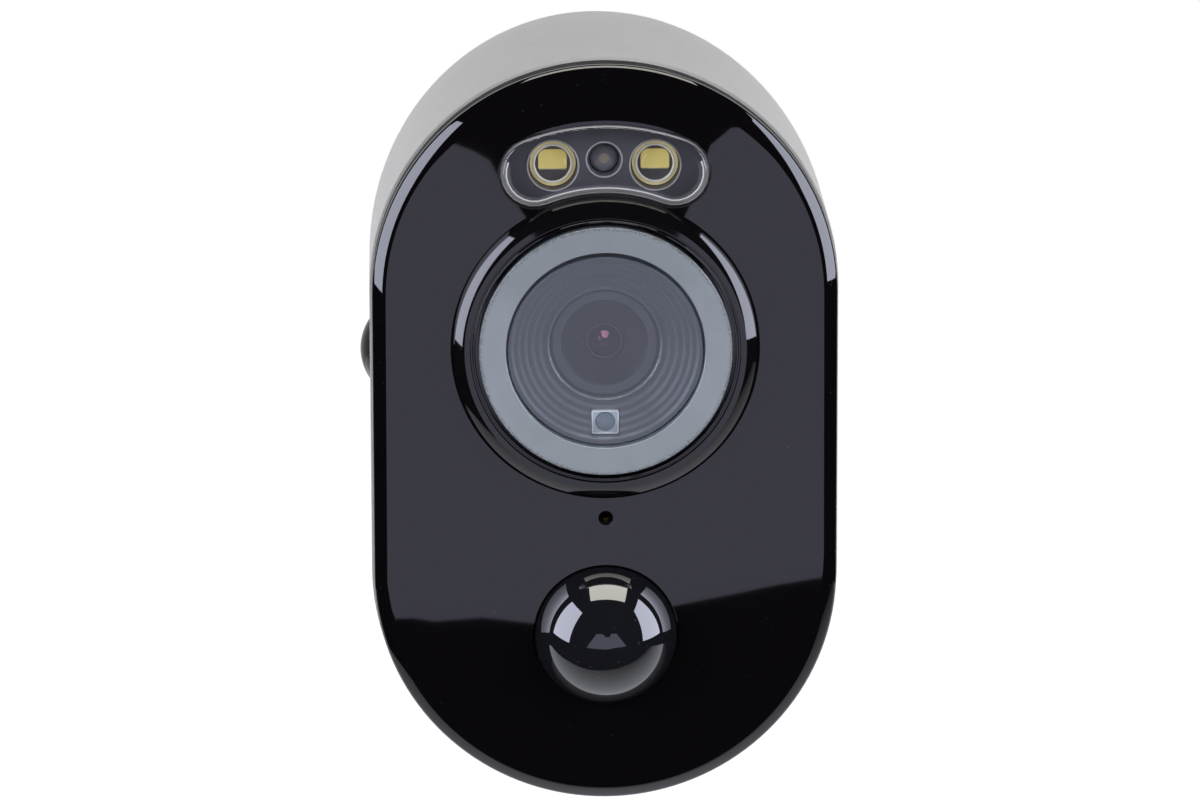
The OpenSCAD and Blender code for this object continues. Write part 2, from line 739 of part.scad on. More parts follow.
module housing_seal() {
  color("#0b0b0c") at_body() difference() {
    pill(cover_r - seal_in, cover_d, housing_d0);
    pill(max(chassis_r + 0.2, cover_r - rim_t), cover_d - 1, housing_d0 + 1);
  }
}

module rear_housing() {
  color("#e9e9ea") at_body() difference() {
    union() {
      difference() {
        pill_sweep() outer_outline();
        pill_sweep() inner_outline();
      }
      intersection() {
        at_four(boss_x, boss_z) rod_y(boss_r, chassis_d1 + fit_gap, chassis_d1 + boss_len);
        pill(inner_r + wall_t / 2, chassis_d1, chassis_d1 + boss_len);
      }
      translate([0, 0, -mount_drop]) rod_y(insert_r + 2.2, body_d - insert_len - 1, inner_end + 1);
    }
    at_four(boss_x, boss_z) rod_y(screw_r, chassis_d1 - 1, chassis_d1 + screw_bite + 1);
    translate([0, 0, -mount_drop]) rod_y(insert_r, body_d - insert_len - 2, body_d + 1);
    block(-bay_x1 - fit_gap, bay_x1 + fit_gap, inner_end - 1, body_d, bay_z0 - fit_gap, bay_z1 + fit_gap);
    block(-flap_x1 - fit_gap * 2, flap_x1 + fit_gap * 2, seat_d, body_d + 1,
      flap_z0 - fit_gap * 2, hinge_z + flap_t / 2 + 0.5);
    translate([0, hinge_d, hinge_z]) rod_x(flap_pin_r + run_gap, -flap_pin_x - 0.1, flap_pin_x + 0.1);
    for (n = [1, 2]) for (i = [0:n * 6 - 1])
      translate([n * grille_pitch * cos(i * 60 / n), speaker_d + n * grille_pitch * sin(i * 60 / n), 0])
        rod_z(grille_hole_r, -arc_c - housing_r - 1, -arc_c - inner_r + 2);
    translate([0, speaker_d, 0]) rod_z(grille_hole_r, -arc_c - housing_r - 1, -arc_c - inner_r + 2);
  }
}

module chassis_screws() {
  color("#8d9096") at_body() at_four(boss_x, boss_z) {
    rod_y(screw_head_r, chassis_d0 - screw_head_h, chassis_d0);
    rod_y(screw_r, chassis_d0 - 0.01, chassis_d1 + screw_bite);
  }
}

module main_board() {
  color("#0f4d33") at_body() difference() {
    pill(main_r, main_d0, main_d1);
    at_four(post_x, post_z) rod_y(screw_r + 0.15, main_d0 - 1, main_d1 + 1);
  }
}

module board_screws() {
  color("#8d9096") at_body() at_four(post_x, post_z) {
    rod_y(screw_head_r, main_d1, main_d1 + screw_head_h);
    rod_y(screw_r, main_d0 - screw_bite * 0.6, main_d1 + 0.01);
  }
}

module heat_spreader() {
  color("#a9acb0") at_body()
    block(-spreader_w / 2, spreader_w / 2, main_d1, main_d1 + spreader_t, 6 - spreader_h, 6);
}

module wifi_antenna() {
  d0 = chassis_d1 + 2;
  color("#b98a4a") at_body()
    block(inner_r - 0.5, inner_r - 0.2, d0, d0 + antenna_w, -arc_c + 3, arc_c - 3);
}

module battery_cells() {
  color("#2f6fb0") at_body() for (s = [-1, 1]) translate([s * cell_x, cell_d, 0])
    rod_z(cell_r, -cell_z1, cell_z1);
}

module battery_cradle() {
  z1 = cell_z1 + 0.4 + cradle_t;
  x1 = cell_x + cell_r + fit_gap + cradle_t;
  color("#55585e") at_body() difference() {
    intersection() {
      block(-x1, x1, cradle_d0, cell_d + 3, -z1, z1);
      pill(inner_r - 2.3, cradle_d0, cell_d + 3);
    }
    for (s = [-1, 1]) translate([s * cell_x, cell_d, 0])
      rod_z(cell_r + fit_gap, -cell_z1 - 0.4, cell_z1 + 0.4);
  }
}

module battery_leads() {
  z0 = cell_z1 + 0.4 + cradle_t;
  color("#b02020") at_body() {
    block(-3.5, 3.5, main_d1, main_d1 + 1.9, z0 + 0.1, z0 + 2.6);
    for (s = [-1, 1]) translate([s * 2, 0, z0]) {
      translate([0, 0, 1.3]) rod_y(0.7, main_d1 + 1.8, cell_d - 1);
      translate([0, cell_d - 2.2, 0]) rod_z(0.5, 0, 1.3);
    }
  }
}

module flat_cables() {
  z0 = arc_c + main_r;
  color("#c9c9c4") at_body() {
    block(-cable_w / 2, cable_w / 2, front_board_d1, main_d0 - 0.01,
      cable_z - cable_t / 2, cable_z + cable_t / 2);
    block(-cable_w / 2, cable_w / 2, main_d0 - cable_t, main_d0, z0 - 2, cable_z + cable_t / 2);
    block(-sensor_cable_w / 2, sensor_cable_w / 2, sensor_board_d1, main_d0,
      lens_z - sensor_cable_drop, lens_z - sensor_cable_drop + cable_t);
  }
}

module speaker() {
  color("#4a4a4c") at_body() translate([0, speaker_d, 0]) difference() {
    union() {
      rod_z(speaker_r, speaker_z0, speaker_z0 + speaker_h);
      rod_z(speaker_r * 0.62, speaker_z0 + speaker_h - 0.1, speaker_z0 + speaker_h + 2.6);
    }
    rod_z(speaker_r - 1.4, speaker_z0 - 1, speaker_z0 + 1);
  }
}

module port_panel() {
  color("#26262a") at_body() difference() {
    block(-bay_x1, bay_x1, floor_d0, seat_d - 0.05, bay_z0, bay_z1);
    block(-bay_x1 + panel_t, bay_x1 - panel_t, floor_d1, seat_d + 1, bay_z0 + panel_t, bay_z1 - panel_t);
    block(usb_x - usb_w / 2 - 0.05, usb_x + usb_w / 2 + 0.05, floor_d0 - 1, floor_d1 + 1,
      usb_z - usb_h / 2 - 0.05, usb_z + usb_h / 2 + 0.05);
    block(card_x - card_w / 2 - fit_gap, card_x + card_w / 2 + fit_gap, floor_d0 - 1, floor_d1 + 1,
      card_z - card_t / 2 - fit_gap, card_z + card_t / 2 + fit_gap);
    translate([reset_x, 0, reset_z]) rod_y(reset_r + run_gap, floor_d0 - 1, floor_d1 + 1);
    block(switch_x - 0.1, switch_x + 1.7 + switch_travel, floor_d0 - 1, floor_d1 + 1,
      switch_z - 0.7, switch_z + 0.7);
  }
}

module port_board() {
  color("#0f4d33") at_body()
    block(-bay_x1 + 0.3, bay_x1 - 0.3, port_d0, floor_d0, port_board_z, port_top);
}

module usb_socket() {
  r = usb_h / 2;
  e = usb_w / 2 - r;
  d0 = floor_d1 - usb_len;
  color("#b4b6ba") at_body() translate([usb_x, 0, usb_z]) {
    difference() {
      union() {
        for (s = [-1, 1]) translate([s * e, 0, 0]) rod_y(r, d0, floor_d1);
        block(-e, e, d0, floor_d1, -r, r);
      }
      for (s = [-1, 1]) translate([s * e, 0, 0]) rod_y(r - 0.3, d0 + 1, floor_d1 + 1);
      block(-e, e, d0 + 1, floor_d1 + 1, -r + 0.3, r - 0.3);
    }
    block(-3.35, 3.35, d0 + 0.9, floor_d1 - 0.8, -0.35, 0.35);
  }
}

module card_slot() {
  x0 = card_x - card_w / 2;
  color("#a9acb0") at_body() difference() {
    block(x0 - 0.6, x0 + card_w + 0.6, port_d0 + 0.2, floor_d0, card_z - 0.8, port_board_z);
    block(x0 - fit_gap, x0 + card_w + fit_gap, port_d0 + 0.5, floor_d0 + 1,
      card_z - card_t / 2 - fit_gap, card_z + card_t / 2 + fit_gap);
  }
}

module memory_card() {
  d1 = floor_d1 + card_out;
  color("#2b2b30") at_body() translate([card_x, 0, card_z])
    block(-card_w / 2, card_w / 2, d1 - card_len, d1, -card_t / 2, card_t / 2);
}

module power_switch() {
  color("#303036") at_body() difference() {
    block(switch_x - 1.4, switch_x + 5.4, floor_d0 - 4, floor_d0, port_top, port_top + 2.6);
    block(switch_x - 0.1, switch_x + 1.7 + switch_travel, floor_d0 - 1.2, floor_d0 + 1,
      switch_z - 0.7, switch_z + 0.7);
  }
}

module switch_slider() {
  color("#d8d8dc") at_body()
    block(switch_x, switch_x + 1.6, floor_d0 - 1.1, floor_d1 + 1.4, switch_z - 0.6, switch_z + 0.6);
}

module reset_switch() {
  x1 = bay_x1 - panel_t;
  color("#6a6a70") at_body() difference() {
    block(card_x + card_w / 2 + 0.8, x1, floor_d0 - 4, floor_d0, reset_z - 1.5, port_board_z);
    translate([reset_x, 0, reset_z]) rod_y(reset_r + run_gap, floor_d0 - 2.2, floor_d0 + 1);
  }
}

module reset_button() {
  color("#d05030") at_body() translate([reset_x, 0, reset_z])
    rod_y(reset_r, floor_d0 - 1.4, floor_d1 + 1.2);
}

module port_flap() {
  t = flap_t / 2;
  color("#dcdcde") at_body() {
    block(-flap_x1, flap_x1, hinge_d - t, hinge_d + t, flap_z0, hinge_z);
    translate([0, hinge_d, hinge_z]) rod_x(t, -flap_x1, flap_x1);
    translate([0, hinge_d, hinge_z]) rod_x(flap_pin_r, -flap_pin_x, flap_pin_x);
    difference() {
      block(-bay_x1 + 1.3, bay_x1 - 1.3, hinge_d - t - 1, hinge_d, bay_z0 + 1.3, bay_z1 - 2.2);
      block(-bay_x1 + 2.3, bay_x1 - 2.3, hinge_d - t - 2, hinge_d - t, bay_z0 + 2.3, bay_z1 - 3.2);
    }
  }
}

module thread_insert() {
  color("#c2a04a") at_body() translate([0, 0, -mount_drop])
    ring_y(insert_r, insert_bore_r, body_d - insert_len, body_d - 0.02);
}

module wall_plate() {
  color("#e4e4e6") difference() {
    rotate([90, 0, 0]) rotate_extrude() polygon(concat([[0, 0], [plate_r, 0]],
      [for (a = [0:15:90]) [plate_land_r + (plate_r - plate_land_r) * cos(a),
        plate_side + (plate_t - plate_side) * sin(a)]],
      [[0, plate_t]]));
    rod_y(spigot_r + run_gap, -plate_t - 1, 1);
    rod_y(spigot_r + 3, -(plate_t - plate_web), 1);
    for (a = [90, 210, 330]) rotate([0, a - 90, 0]) translate([0, 0, screw_circle_d / 2]) {
      rod_y(wall_hole_r, -plate_t - 1, 1);
      rod_y(wall_hole_r * 2, -plate_t - 1, -plate_side);
    }
  }
}

module swivel_pad() {
  color("#3a3a3a") ring_y(arm_flange_r - 1, spigot_r + 0.2, arm_y0 + 0.05, -plate_t - 0.05);
}

module swivel_arm() {
  color("#e4e4e6") difference() {
    union() {
      rod_y(spigot_r, arm_y0, spigot_end);
      rotate([90, 0, 0]) rotate_extrude() polygon([[0, -arm_y0], [arm_flange_r, -arm_y0],
        [arm_flange_r, -arm_y0 + arm_flange_t * 0.6], [arm_flange_r - 1, -arm_y0 + arm_flange_t],
        [neck_r + 1.4, -arm_y0 + arm_flange_t], [neck_r, -arm_y0 + arm_flange_t + 1.6],
        [neck_r, -slot_back_y + 1], [0, -slot_back_y + 1]]);
      block(-ear_x1, ear_x1, pivot_y, slot_back_y + 6, -ear_r, ear_r);
      translate([0, pivot_y, 0]) rod_x(ear_r, -ear_x1, ear_x1);
    }
    block(-slot_half, slot_half, pivot_y - ear_r - 1, slot_back_y, -ear_r - 1, ear_r + 1);
    translate([0, pivot_y, 0]) rod_x(bolt_r + run_gap, -ear_x1 - 1, ear_x1 + 1);
    translate([ear_x1 - bolt_head_t, pivot_y, 0]) rotate([0, 90, 0]) linear_extrude(height = 10)
      polygon([for (i = [0:5]) (nut_af / sqrt(3) + 0.12) * [cos(i * 60), sin(i * 60)]]);
    rod_y(1.5, spigot_end - 12, 1);
  }
}

module swivel_screw() {
  color("#9a9da2") {
    rod_y(spigot_r + washer_lap, spigot_end, spigot_end + 1);
    rod_y(swivel_head_r, spigot_end + 0.99, spigot_end + 1 + swivel_head_h);
    rod_y(1.5, spigot_end - 11, spigot_end + 0.01);
  }
}

module clamp_bolt() {
  color("#8d9096") translate([0, pivot_y, 0]) {
    translate([ear_x1 - bolt_head_t, 0, 0]) rotate([0, 90, 0]) linear_extrude(height = bolt_head_t)
      polygon([for (i = [0:5]) nut_af / sqrt(3) * [cos(i * 60), sin(i * 60)]]);
    rod_x(bolt_r, -knob_center + 1, ear_x1 - bolt_head_t + 0.01);
  }
}

module clamp_knob() {
  color("#202024") translate([0, pivot_y, 0]) difference() {
    rotate([0, -90, 0]) rotate_extrude() polygon(concat([[0, knob_x0], [knob_r, knob_x0]],
      [for (i = [0:15]) [knob_r * cos(i * 6), knob_center + knob_r * sin(i * 6)]]));
    rod_x(knob_insert_r, -knob_center, -knob_x0 + 1);
    for (i = [0:9]) rotate([i * 36, 0, 0]) translate([0, 0, knob_r + 0.6])
      rod_x(1.2, -knob_center + 2, -knob_x0 - 1.6);
  }
}

module knob_insert() {
  color("#c2a04a") translate([0, pivot_y, 0]) difference() {
    rod_x(knob_insert_r, -knob_center, -knob_x0);
    rod_x(bolt_r + run_gap, -knob_center - 1, -knob_x0 + 1);
  }
}

module pivot_head() {
  color("#26262a") difference() {
    union() {
      translate([0, pivot_y, 0]) rod_x(tongue_r, -tongue_half, tongue_half);
      rod_y(tongue_half - 0.1, head_y0, pivot_y);
      rod_y(tongue_half + 2.6, head_y0, head_y0 + head_flange_t);
    }
    translate([0, pivot_y, 0]) rod_x(bolt_r + run_gap, -tongue_half - 1, tongue_half + 1);
    rod_y(stud_r, head_y0 - 1, head_y0 + 4);
  }
}

module tilt_washers() {
  color("#d9d9d2") translate([0, pivot_y, 0]) for (s = [-1, 1]) difference() {
    translate([s * (tongue_half + washer_t / 2 + fit_gap / 4), 0, 0])
      rod_x(tongue_r - 0.6, -washer_t / 2, washer_t / 2);
    rod_x(bolt_r + run_gap, -tongue_half - 1, tongue_half + 1);
  }
}

module tripod_stud() {
  color("#8d9096") rod_y(stud_r, head_y0 - stud_len, head_y0 + 4);
}

module lock_ring() {
  y1 = lock_y1;
  color("#2a2a2e") difference() {
    union() {
      rod_y(lock_r, y1 - lock_t, y1);
      rod_y(lock_r - 0.8, y1 - lock_t - pad_t, y1 - lock_t + 0.01);
    }
    rod_y(stud_r + run_gap, y1 - lock_t - pad_t - 1, y1 + 1);
    for (i = [0:11]) rotate([0, i * 30, 0]) translate([0, 0, lock_r + 0.7])
      rod_y(1.4, y1 - lock_t, y1 + 1);
  }
}

front_cover();
lens_bezel();
glass_ring();
cover_glass();
lens_baffle();
lens_barrel();
lens_elements();
lens_holder();
ir_cut_filter();
ir_cut_actuator();
image_sensor();
sensor_board();
ir_led();
ir_board();
spotlight_window();
spotlight_tray();
spotlight_leds();
daylight_sensor();
spotlight_board();
pir_dome();
pir_retainer();
pir_sensor();
motion_board();
microphone();
mic_boot();
inner_chassis();
housing_seal();
rear_housing();
chassis_screws();
main_board();
board_screws();
heat_spreader();
wifi_antenna();
battery_cells();
battery_cradle();
battery_leads();
flat_cables();
speaker();
port_panel();
port_board();
usb_socket();
card_slot();
memory_card();
power_switch();
switch_slider();
reset_switch();
reset_button();
port_flap();
thread_insert();
wall_plate();
swivel_pad();
swivel_arm();
swivel_screw();
clamp_bolt();
clamp_knob();
knob_insert();
pivot_head();
tilt_washers();
tripod_stud();
lock_ring();
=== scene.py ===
import math

import bmesh
import bpy
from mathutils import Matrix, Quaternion, Vector


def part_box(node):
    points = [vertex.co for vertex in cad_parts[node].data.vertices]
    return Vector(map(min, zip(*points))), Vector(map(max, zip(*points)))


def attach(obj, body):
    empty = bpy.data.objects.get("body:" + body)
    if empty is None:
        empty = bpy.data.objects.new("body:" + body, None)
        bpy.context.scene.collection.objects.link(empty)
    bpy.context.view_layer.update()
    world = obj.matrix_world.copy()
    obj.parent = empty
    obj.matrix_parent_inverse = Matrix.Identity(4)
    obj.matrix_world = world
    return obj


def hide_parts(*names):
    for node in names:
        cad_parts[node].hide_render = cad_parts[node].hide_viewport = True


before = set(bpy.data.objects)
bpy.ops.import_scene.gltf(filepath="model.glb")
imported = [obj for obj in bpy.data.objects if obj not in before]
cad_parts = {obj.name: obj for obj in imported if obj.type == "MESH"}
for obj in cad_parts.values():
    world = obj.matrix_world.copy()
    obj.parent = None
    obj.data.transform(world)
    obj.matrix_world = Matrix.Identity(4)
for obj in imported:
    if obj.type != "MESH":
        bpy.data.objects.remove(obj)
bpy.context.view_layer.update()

# ---- Places ----
# In millimetres. The camera's own pieces are drawn about the middle of the cover face:
# x to the right, depth behind the face, and height.
MM = 0.001
WALL = Vector((0, 0, 0))


def corners(node, base=WALL):
    """Lowest and highest corner of a node in millimetres, from a base point."""
    low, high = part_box(node)
    return low / MM - base, high / MM - base


cover_low, cover_high = corners("front_cover")
FACE = Vector(((cover_low.x + cover_high.x) / 2, cover_low.y, (cover_low.z + cover_high.z) / 2))


def middle(node):
    """Middle height of a node from the middle of the face."""
    low, high = corners(node, FACE)
    return (low.z + high.z) / 2


def radius(node):
    """Half the width of a node."""
    low, high = corners(node)
    return (high.x - low.x) / 2


COVER_R = radius("front_cover")
ARC_C = (cover_high.z - cover_low.z) / 2 - COVER_R
COVER_D = cover_high.y - cover_low.y
LENS = FACE + Vector((0, 0, middle("glass_ring")))
DOME = FACE + Vector((0, 0, middle("pir_dome")))
MIC = FACE + Vector((0, 0, middle("mic_boot")))
bolt_low, bolt_high = corners("clamp_bolt")
PIVOT = Vector((0, (bolt_low.y + bolt_high.y) / 2, (bolt_low.z + bolt_high.z) / 2))

# ---- Outlines and meshes ----


def arc(cx, cy, r, a0, a1, steps):
    """Points on an arc, angles in degrees from the first axis."""
    turn = [math.radians(a0 + (a1 - a0) * i / steps) for i in range(steps + 1)]
    return [(cx + r * math.cos(a), cy + r * math.sin(a)) for a in turn]


def rounded(points, closed=True, steps=4):
    """Outline with round corners. A point is (u, v) or (u, v, corner radius)."""
    out = []
    count = len(points)
    for i, point in enumerate(points):
        here = Vector(point[:2])
        if len(point) < 3 or (not closed and i in (0, count - 1)):
            out.append(tuple(here))
            continue
        before = (Vector(points[i - 1][:2]) - here).normalized()
        after = (Vector(points[(i + 1) % count][:2]) - here).normalized()
        turn = before.angle(after)
        center = here + (before + after).normalized() * point[2] / math.sin(turn / 2)
        reach = point[2] / math.tan(turn / 2)
        start = here + before * reach - center
        end = here + after * reach - center
        sweep = math.pi - turn
        for k in range(steps + 1):
            f = k / steps
            a = math.sin((1 - f) * sweep) / math.sin(sweep)
            b = math.sin(f * sweep) / math.sin(sweep)
            out.append(tuple(center + start * a + end * b))
    return out


def spread(first, last, steps):
    """Evenly spaced values from the first to the last."""
    return [first + (last - first) * k / steps for k in range(steps + 1)]


def circle(r, d, count=96):
    """Ring of points about the depth axis."""
    turn = [2 * math.pi * k / count for k in range(count)]
    return [(r * math.sin(a), d, r * math.cos(a)) for a in turn]


def stadium(r, d, half=72):
    """Ring of points round the straight-sided stadium of the cover."""
    out = []
    for side in (1, -1):
        for k in range(half + 1):
            a = math.pi * k / half
            out.append((side * r * math.cos(a), d, side * (ARC_C + r * math.sin(a))))
    return out


def rounded_box(half_w, half_h, corner, d, steps=6):
    """Ring of points round a rectangle with round corners."""
    points = [(half_w, half_h, corner), (-half_w, half_h, corner),
              (-half_w, -half_h, corner), (half_w, -half_h, corner)]
    return [(u, d, v) for u, v in rounded(points, steps=steps)]


def loft(rings, cap=True, loop=False):
    """Vertices and faces of a skin over rings of equally many points."""
    count = len(rings[0])
    verts = [point for ring in rings for point in ring]
    faces = []
    for i in range(len(rings) if loop else len(rings) - 1):
        a = i * count
        b = (i + 1) % len(rings) * count
        for k in range(count):
            n = (k + 1) % count
            faces.append((a + k, a + n, b + n, b + k))
    if cap and not loop:
        faces.append(tuple(range(count)))
        faces.append(tuple(range((len(rings) - 1) * count, len(rings) * count)))
    return verts, faces


def boxes(half_w, half_h, rows):
    """Skin over round-cornered rectangles. A row is inset, corner radius and depth."""
    return loft([rounded_box(half_w - inset, half_h - inset, corner, d) for inset, corner, d in rows])


def lathe(outline, count=96, loop=True):
    """Turned body from an outline of (radius, depth)."""
    return loft([circle(max(r, 0), d, count) for r, d in outline], loop=loop)


def turned(outline, count=96):
    """Turned body from an open outline, closed by a flat face at each end."""
    return lathe(outline, count, False)


def rod(r, start, end, count=96):
    """Plain round rod along the depth axis."""
    return turned([(0, start), (r, start), (r, end), (0, end)], count)


def box_form(low, high, corner=0.15):
    """Block between two corners, its four edges along the depth rounded, its ends eased."""
    cx, cz = (low[0] + high[0]) / 2, (low[2] + high[2]) / 2
    w, h = (high[0] - low[0]) / 2, (high[2] - low[2]) / 2
    ease = corner * 0.5
    rings = []
    for inset, d in ((ease, low[1]), (0, low[1] + ease), (0, high[1] - ease), (ease, high[1])):
        ring = rounded_box(w - inset, h - inset, corner, d, 3)
        rings.append([(x + cx, y, z + cz) for x, y, z in ring])
    return loft(rings)


def along_x(form):
    """Turns a form from the depth axis to the x axis."""
    verts, faces = form
    return [(d, x, z) for x, d, z in verts], faces


def moved(form, x=0, d=0, z=0):
    """Moves a form."""
    verts, faces = form
    return [(a + x, b + d, c + z) for a, b, c in verts], faces


def joined(*forms):
    """Puts several forms in one."""
    verts = []
    faces = []
    for more_verts, more_faces in forms:
        start = len(verts)
        verts += more_verts
        faces += [tuple(start + i for i in face) for face in more_faces]
    return verts, faces


def linked(name, data):
    """Object of some data, in the scene."""
    item = bpy.data.objects.new(name, data)
    bpy.context.scene.collection.objects.link(item)
    return item


def solid(name, form, base=WALL):
    """Mesh object of a form drawn in millimetres about a base point."""
    verts, faces = form
    mesh = bpy.data.meshes.new(name)
    mesh.from_pydata([(Vector(v) + base) * MM for v in verts], [], faces)
    work = bmesh.new()
    work.from_mesh(mesh)
    bmesh.ops.remove_doubles(work, verts=work.verts, dist=1e-7)
    bmesh.ops.dissolve_degenerate(work, edges=work.edges, dist=1e-8)
    bmesh.ops.recalc_face_normals(work, faces=work.faces)
    work.to_mesh(mesh)
    work.free()
    return linked(name, mesh)


def tool(form, base=WALL):
    """Solid that only cuts, joins or crops another piece."""
    return solid("tool", form, base)


def settle(piece):
    """Applies a piece's modifiers."""
    shown = piece.evaluated_get(bpy.context.evaluated_depsgraph_get())
    mesh = bpy.data.meshes.new_from_object(shown)
    piece.modifiers.clear()
    piece.data = mesh


def combine(piece, others, how="DIFFERENCE"):
    """Cuts other forms out of a piece, or adds them to it."""
    for other in others:
        step = piece.modifiers.new("combine", "BOOLEAN")
        step.operation = how
        step.solver = "EXACT"
        step.object = other
    settle(piece)
    for other in others:
        bpy.data.objects.remove(other)


def paint(piece, materials, pick):
    """Adds materials to a piece and picks one of them for each face."""
    for material in materials:
        piece.data.materials.append(material)
    for face in piece.data.polygons:
        face.material_index = pick(face)


def dress(piece, material, slot, body="camera", stands=True, smooth=32):
    """Gives a piece its finish, smooth shading and body. Unless told otherwise it stands for the CAD node
    slot, which it hides.
    """
    if material:
        piece.data.materials.clear()
        piece.data.materials.append(material)
    for face in piece.data.polygons:
        face.use_smooth = True
    piece.data.set_sharp_from_angle(angle=math.radians(smooth))
    normals = piece.modifiers.new("normals", "WEIGHTED_NORMAL")
    normals.keep_sharp = True
    settle(piece)
    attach(piece, body)
    if stands:
        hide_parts(slot)


# ---- Materials ----


def rgb(code):
    """Linear colour from a six-digit sRGB code."""
    parts = [int(code[i:i + 2], 16) / 255 for i in (0, 2, 4)]
    flat = [c / 12.92 if c <= 0.04045 else ((c + 0.055) / 1.055) ** 2.4 for c in parts]
    return (*flat, 1)


class Finish:
    """Small helper that builds the nodes of one material, or of the world."""

    def __init__(self, name, world=None):
        self.material = world or bpy.data.materials.new(name)
        self.material.use_nodes = True
        self.nodes = self.material.node_tree.nodes
        self.links = self.material.node_tree.links
        self.nodes.clear()
        self.out = self.nodes.new("ShaderNodeOutput" + ("World" if world else "Material"))
        coordinates = self.nodes.new("ShaderNodeTexCoord")
        self.place = coordinates.outputs["Object"]
        self.generated = coordinates.outputs["Generated"]

    def node(self, kind, sockets=None, **values):
        """Adds a node. A socket gets a value or a link; values may also be the node's settings."""
        made = self.nodes.new("ShaderNode" + kind)
        for key, value in values.items():
            if key in made.inputs:
                made.inputs[key].default_value = value
            else:
                setattr(made, key, value)
        for key, value in (sockets or {}).items():
            if isinstance(value, bpy.types.NodeSocket):
                self.links.new(value, made.inputs[key])
            else:
                made.inputs[key].default_value = value
        return made

    def noise(self, size, detail=3.0, roughness=0.5, stretch=None):
        """Noise whose features are about this many millimetres wide."""
        place = self.place
        if stretch:
            mapping = self.node("Mapping", {"Vector": place}, Scale=stretch)
            place = mapping.outputs["Vector"]
        made = self.node("TexNoise", {"Vector": place}, Scale=1 / (size * MM), Detail=detail,
                         Roughness=roughness)
        return made.outputs["Fac"]

    def ramp(self, source, low, high, to_low=0.0, to_high=1.0):
        """Maps a value from one range to another."""
        made = self.node("MapRange", {"Value": source, "From Min": low, "From Max": high,
                                      "To Min": to_low, "To Max": to_high})
        return made.outputs["Result"]

    def blend(self, amount, first, second):
        """Mixes two colours by a value. A colour is a tuple or a socket."""
        return self.node("Mix", {0: amount, 6: first, 7: second}, data_type="RGBA").outputs[2]

    def bump(self, height, depth):
        """Bump from a height, its full depth in millimetres."""
        made = self.node("Bump", {"Height": height}, Strength=1.0, Distance=depth * MM)
        return made.outputs["Normal"]

    def close(self, shader):
        """Joins the shader to the output and returns the material."""
        self.links.new(shader.outputs[0], self.out.inputs["Surface"])
        return self.material

    def surface(self, sockets, **values):
        """Closes the material with a principled shader. In a value's name, _ stands for a space."""
        shader = self.node("BsdfPrincipled", sockets)
        for key, value in values.items():
            shader.inputs[key.replace("_", " ")].default_value = value
        return self.close(shader)


def shade(color, amount):
    """Colour made lighter or darker."""
    return tuple(min(1, c * amount) for c in color[:3]) + (1,)


def moulded(name, code, rough, spread=0.05, grain=0.35, depth=0.004, tone=0.05, dust=0.0,
            **sockets):
    """Moulded surface: fine grain, uneven gloss, slight tone change and dust."""
    finish = Finish(name)
    color = rgb(code)
    fine = finish.noise(grain)
    broad = finish.noise(grain * 22, 2)
    tint = finish.blend(broad, shade(color, 1 - tone), shade(color, 1 + tone))
    if dust:
        specks = finish.ramp(finish.noise(0.55, 2, 0.6), 0.71, 0.76, 0, dust)
        tint = finish.blend(specks, tint, rgb("8f8f92"))
    uneven = finish.ramp(finish.noise(grain * 9, 4), 0.3, 0.7, rough - spread, rough + spread)
    bump = finish.bump(fine, depth)
    return finish.surface({"Base Color": tint, "Roughness": uneven, "Normal": bump}, **sockets)


def polished(name, code, rough=0.012, dust=0.25, index=1.5):
    """High-gloss moulded black with a breath of haze, hairline scratches and dust."""
    finish = Finish(name)
    color = rgb(code)
    specks = finish.ramp(finish.noise(0.6, 2, 0.65), 0.715, 0.755, 0, dust)
    tint = finish.blend(specks, color, rgb("77777c"))
    hair = finish.noise(0.9, 2, 0.5, (14.0, 1.0, 1.2))
    marks = finish.ramp(hair, 0.66, 0.74, 0, 0.05)
    haze = finish.ramp(finish.noise(16, 3), 0.35, 0.75, rough, rough + 0.02)
    uneven = finish.node("Math", {0: haze, 1: marks}, operation="ADD").outputs[0]
    wave = finish.bump(finish.noise(5.0, 1), 0.0004)
    return finish.surface({"Base Color": tint, "Roughness": uneven, "Normal": wave}, IOR=index)


def clear(name, sheen, tint, gloss_tint=(1, 1, 1, 1)):
    """Clear sheet: see-through from both sides, with more gloss at a slant."""
    finish = Finish(name)
    through = finish.node("BsdfTransparent", Color=tint)
    smear = finish.ramp(finish.noise(2.5, 3), 0.4, 0.8, 0.01, 0.06)
    gloss = finish.node("BsdfGlossy", {"Roughness": smear}, Color=gloss_tint)
    slant = finish.node("LayerWeight", Blend=0.5).outputs["Facing"]
    steep = finish.node("Math", {0: slant, 1: 5.0}, operation="POWER")
    amount = finish.ramp(steep.outputs[0], 0, 1, sheen, 1)
    mixed = finish.node("MixShader", {0: amount, 1: through.outputs[0], 2: gloss.outputs[0]})
    return finish.close(mixed)


def see_through(name, tint):
    """Inner side of a clear sheet."""
    finish = Finish(name)
    return finish.close(finish.node("BsdfTransparent", Color=tint))


def painted_edge_light(name, code, share):
    """Edge of a clear sheet with painted light: see-through but for this share of pale diffuse colour, a
    painted highlight line.
    """
    finish = Finish(name)
    color = rgb(code)
    through = finish.node("BsdfTransparent", Color=(0.96, 0.97, 0.98, 1))
    tint = finish.blend(finish.noise(1.5), shade(color, 0.85), color)
    pale = finish.node("BsdfDiffuse", {"Color": tint})
    lit_share = finish.node("MixShader", {0: share, 1: through.outputs[0], 2: pale.outputs[0]})
    smear = finish.ramp(finish.noise(2.5), 0.4, 0.8, 0.01, 0.05)
    gloss = finish.node("BsdfGlossy", {"Roughness": smear})
    return finish.close(finish.node("MixShader", {0: 0.06, 1: lit_share.outputs[0], 2: gloss.outputs[0]}))


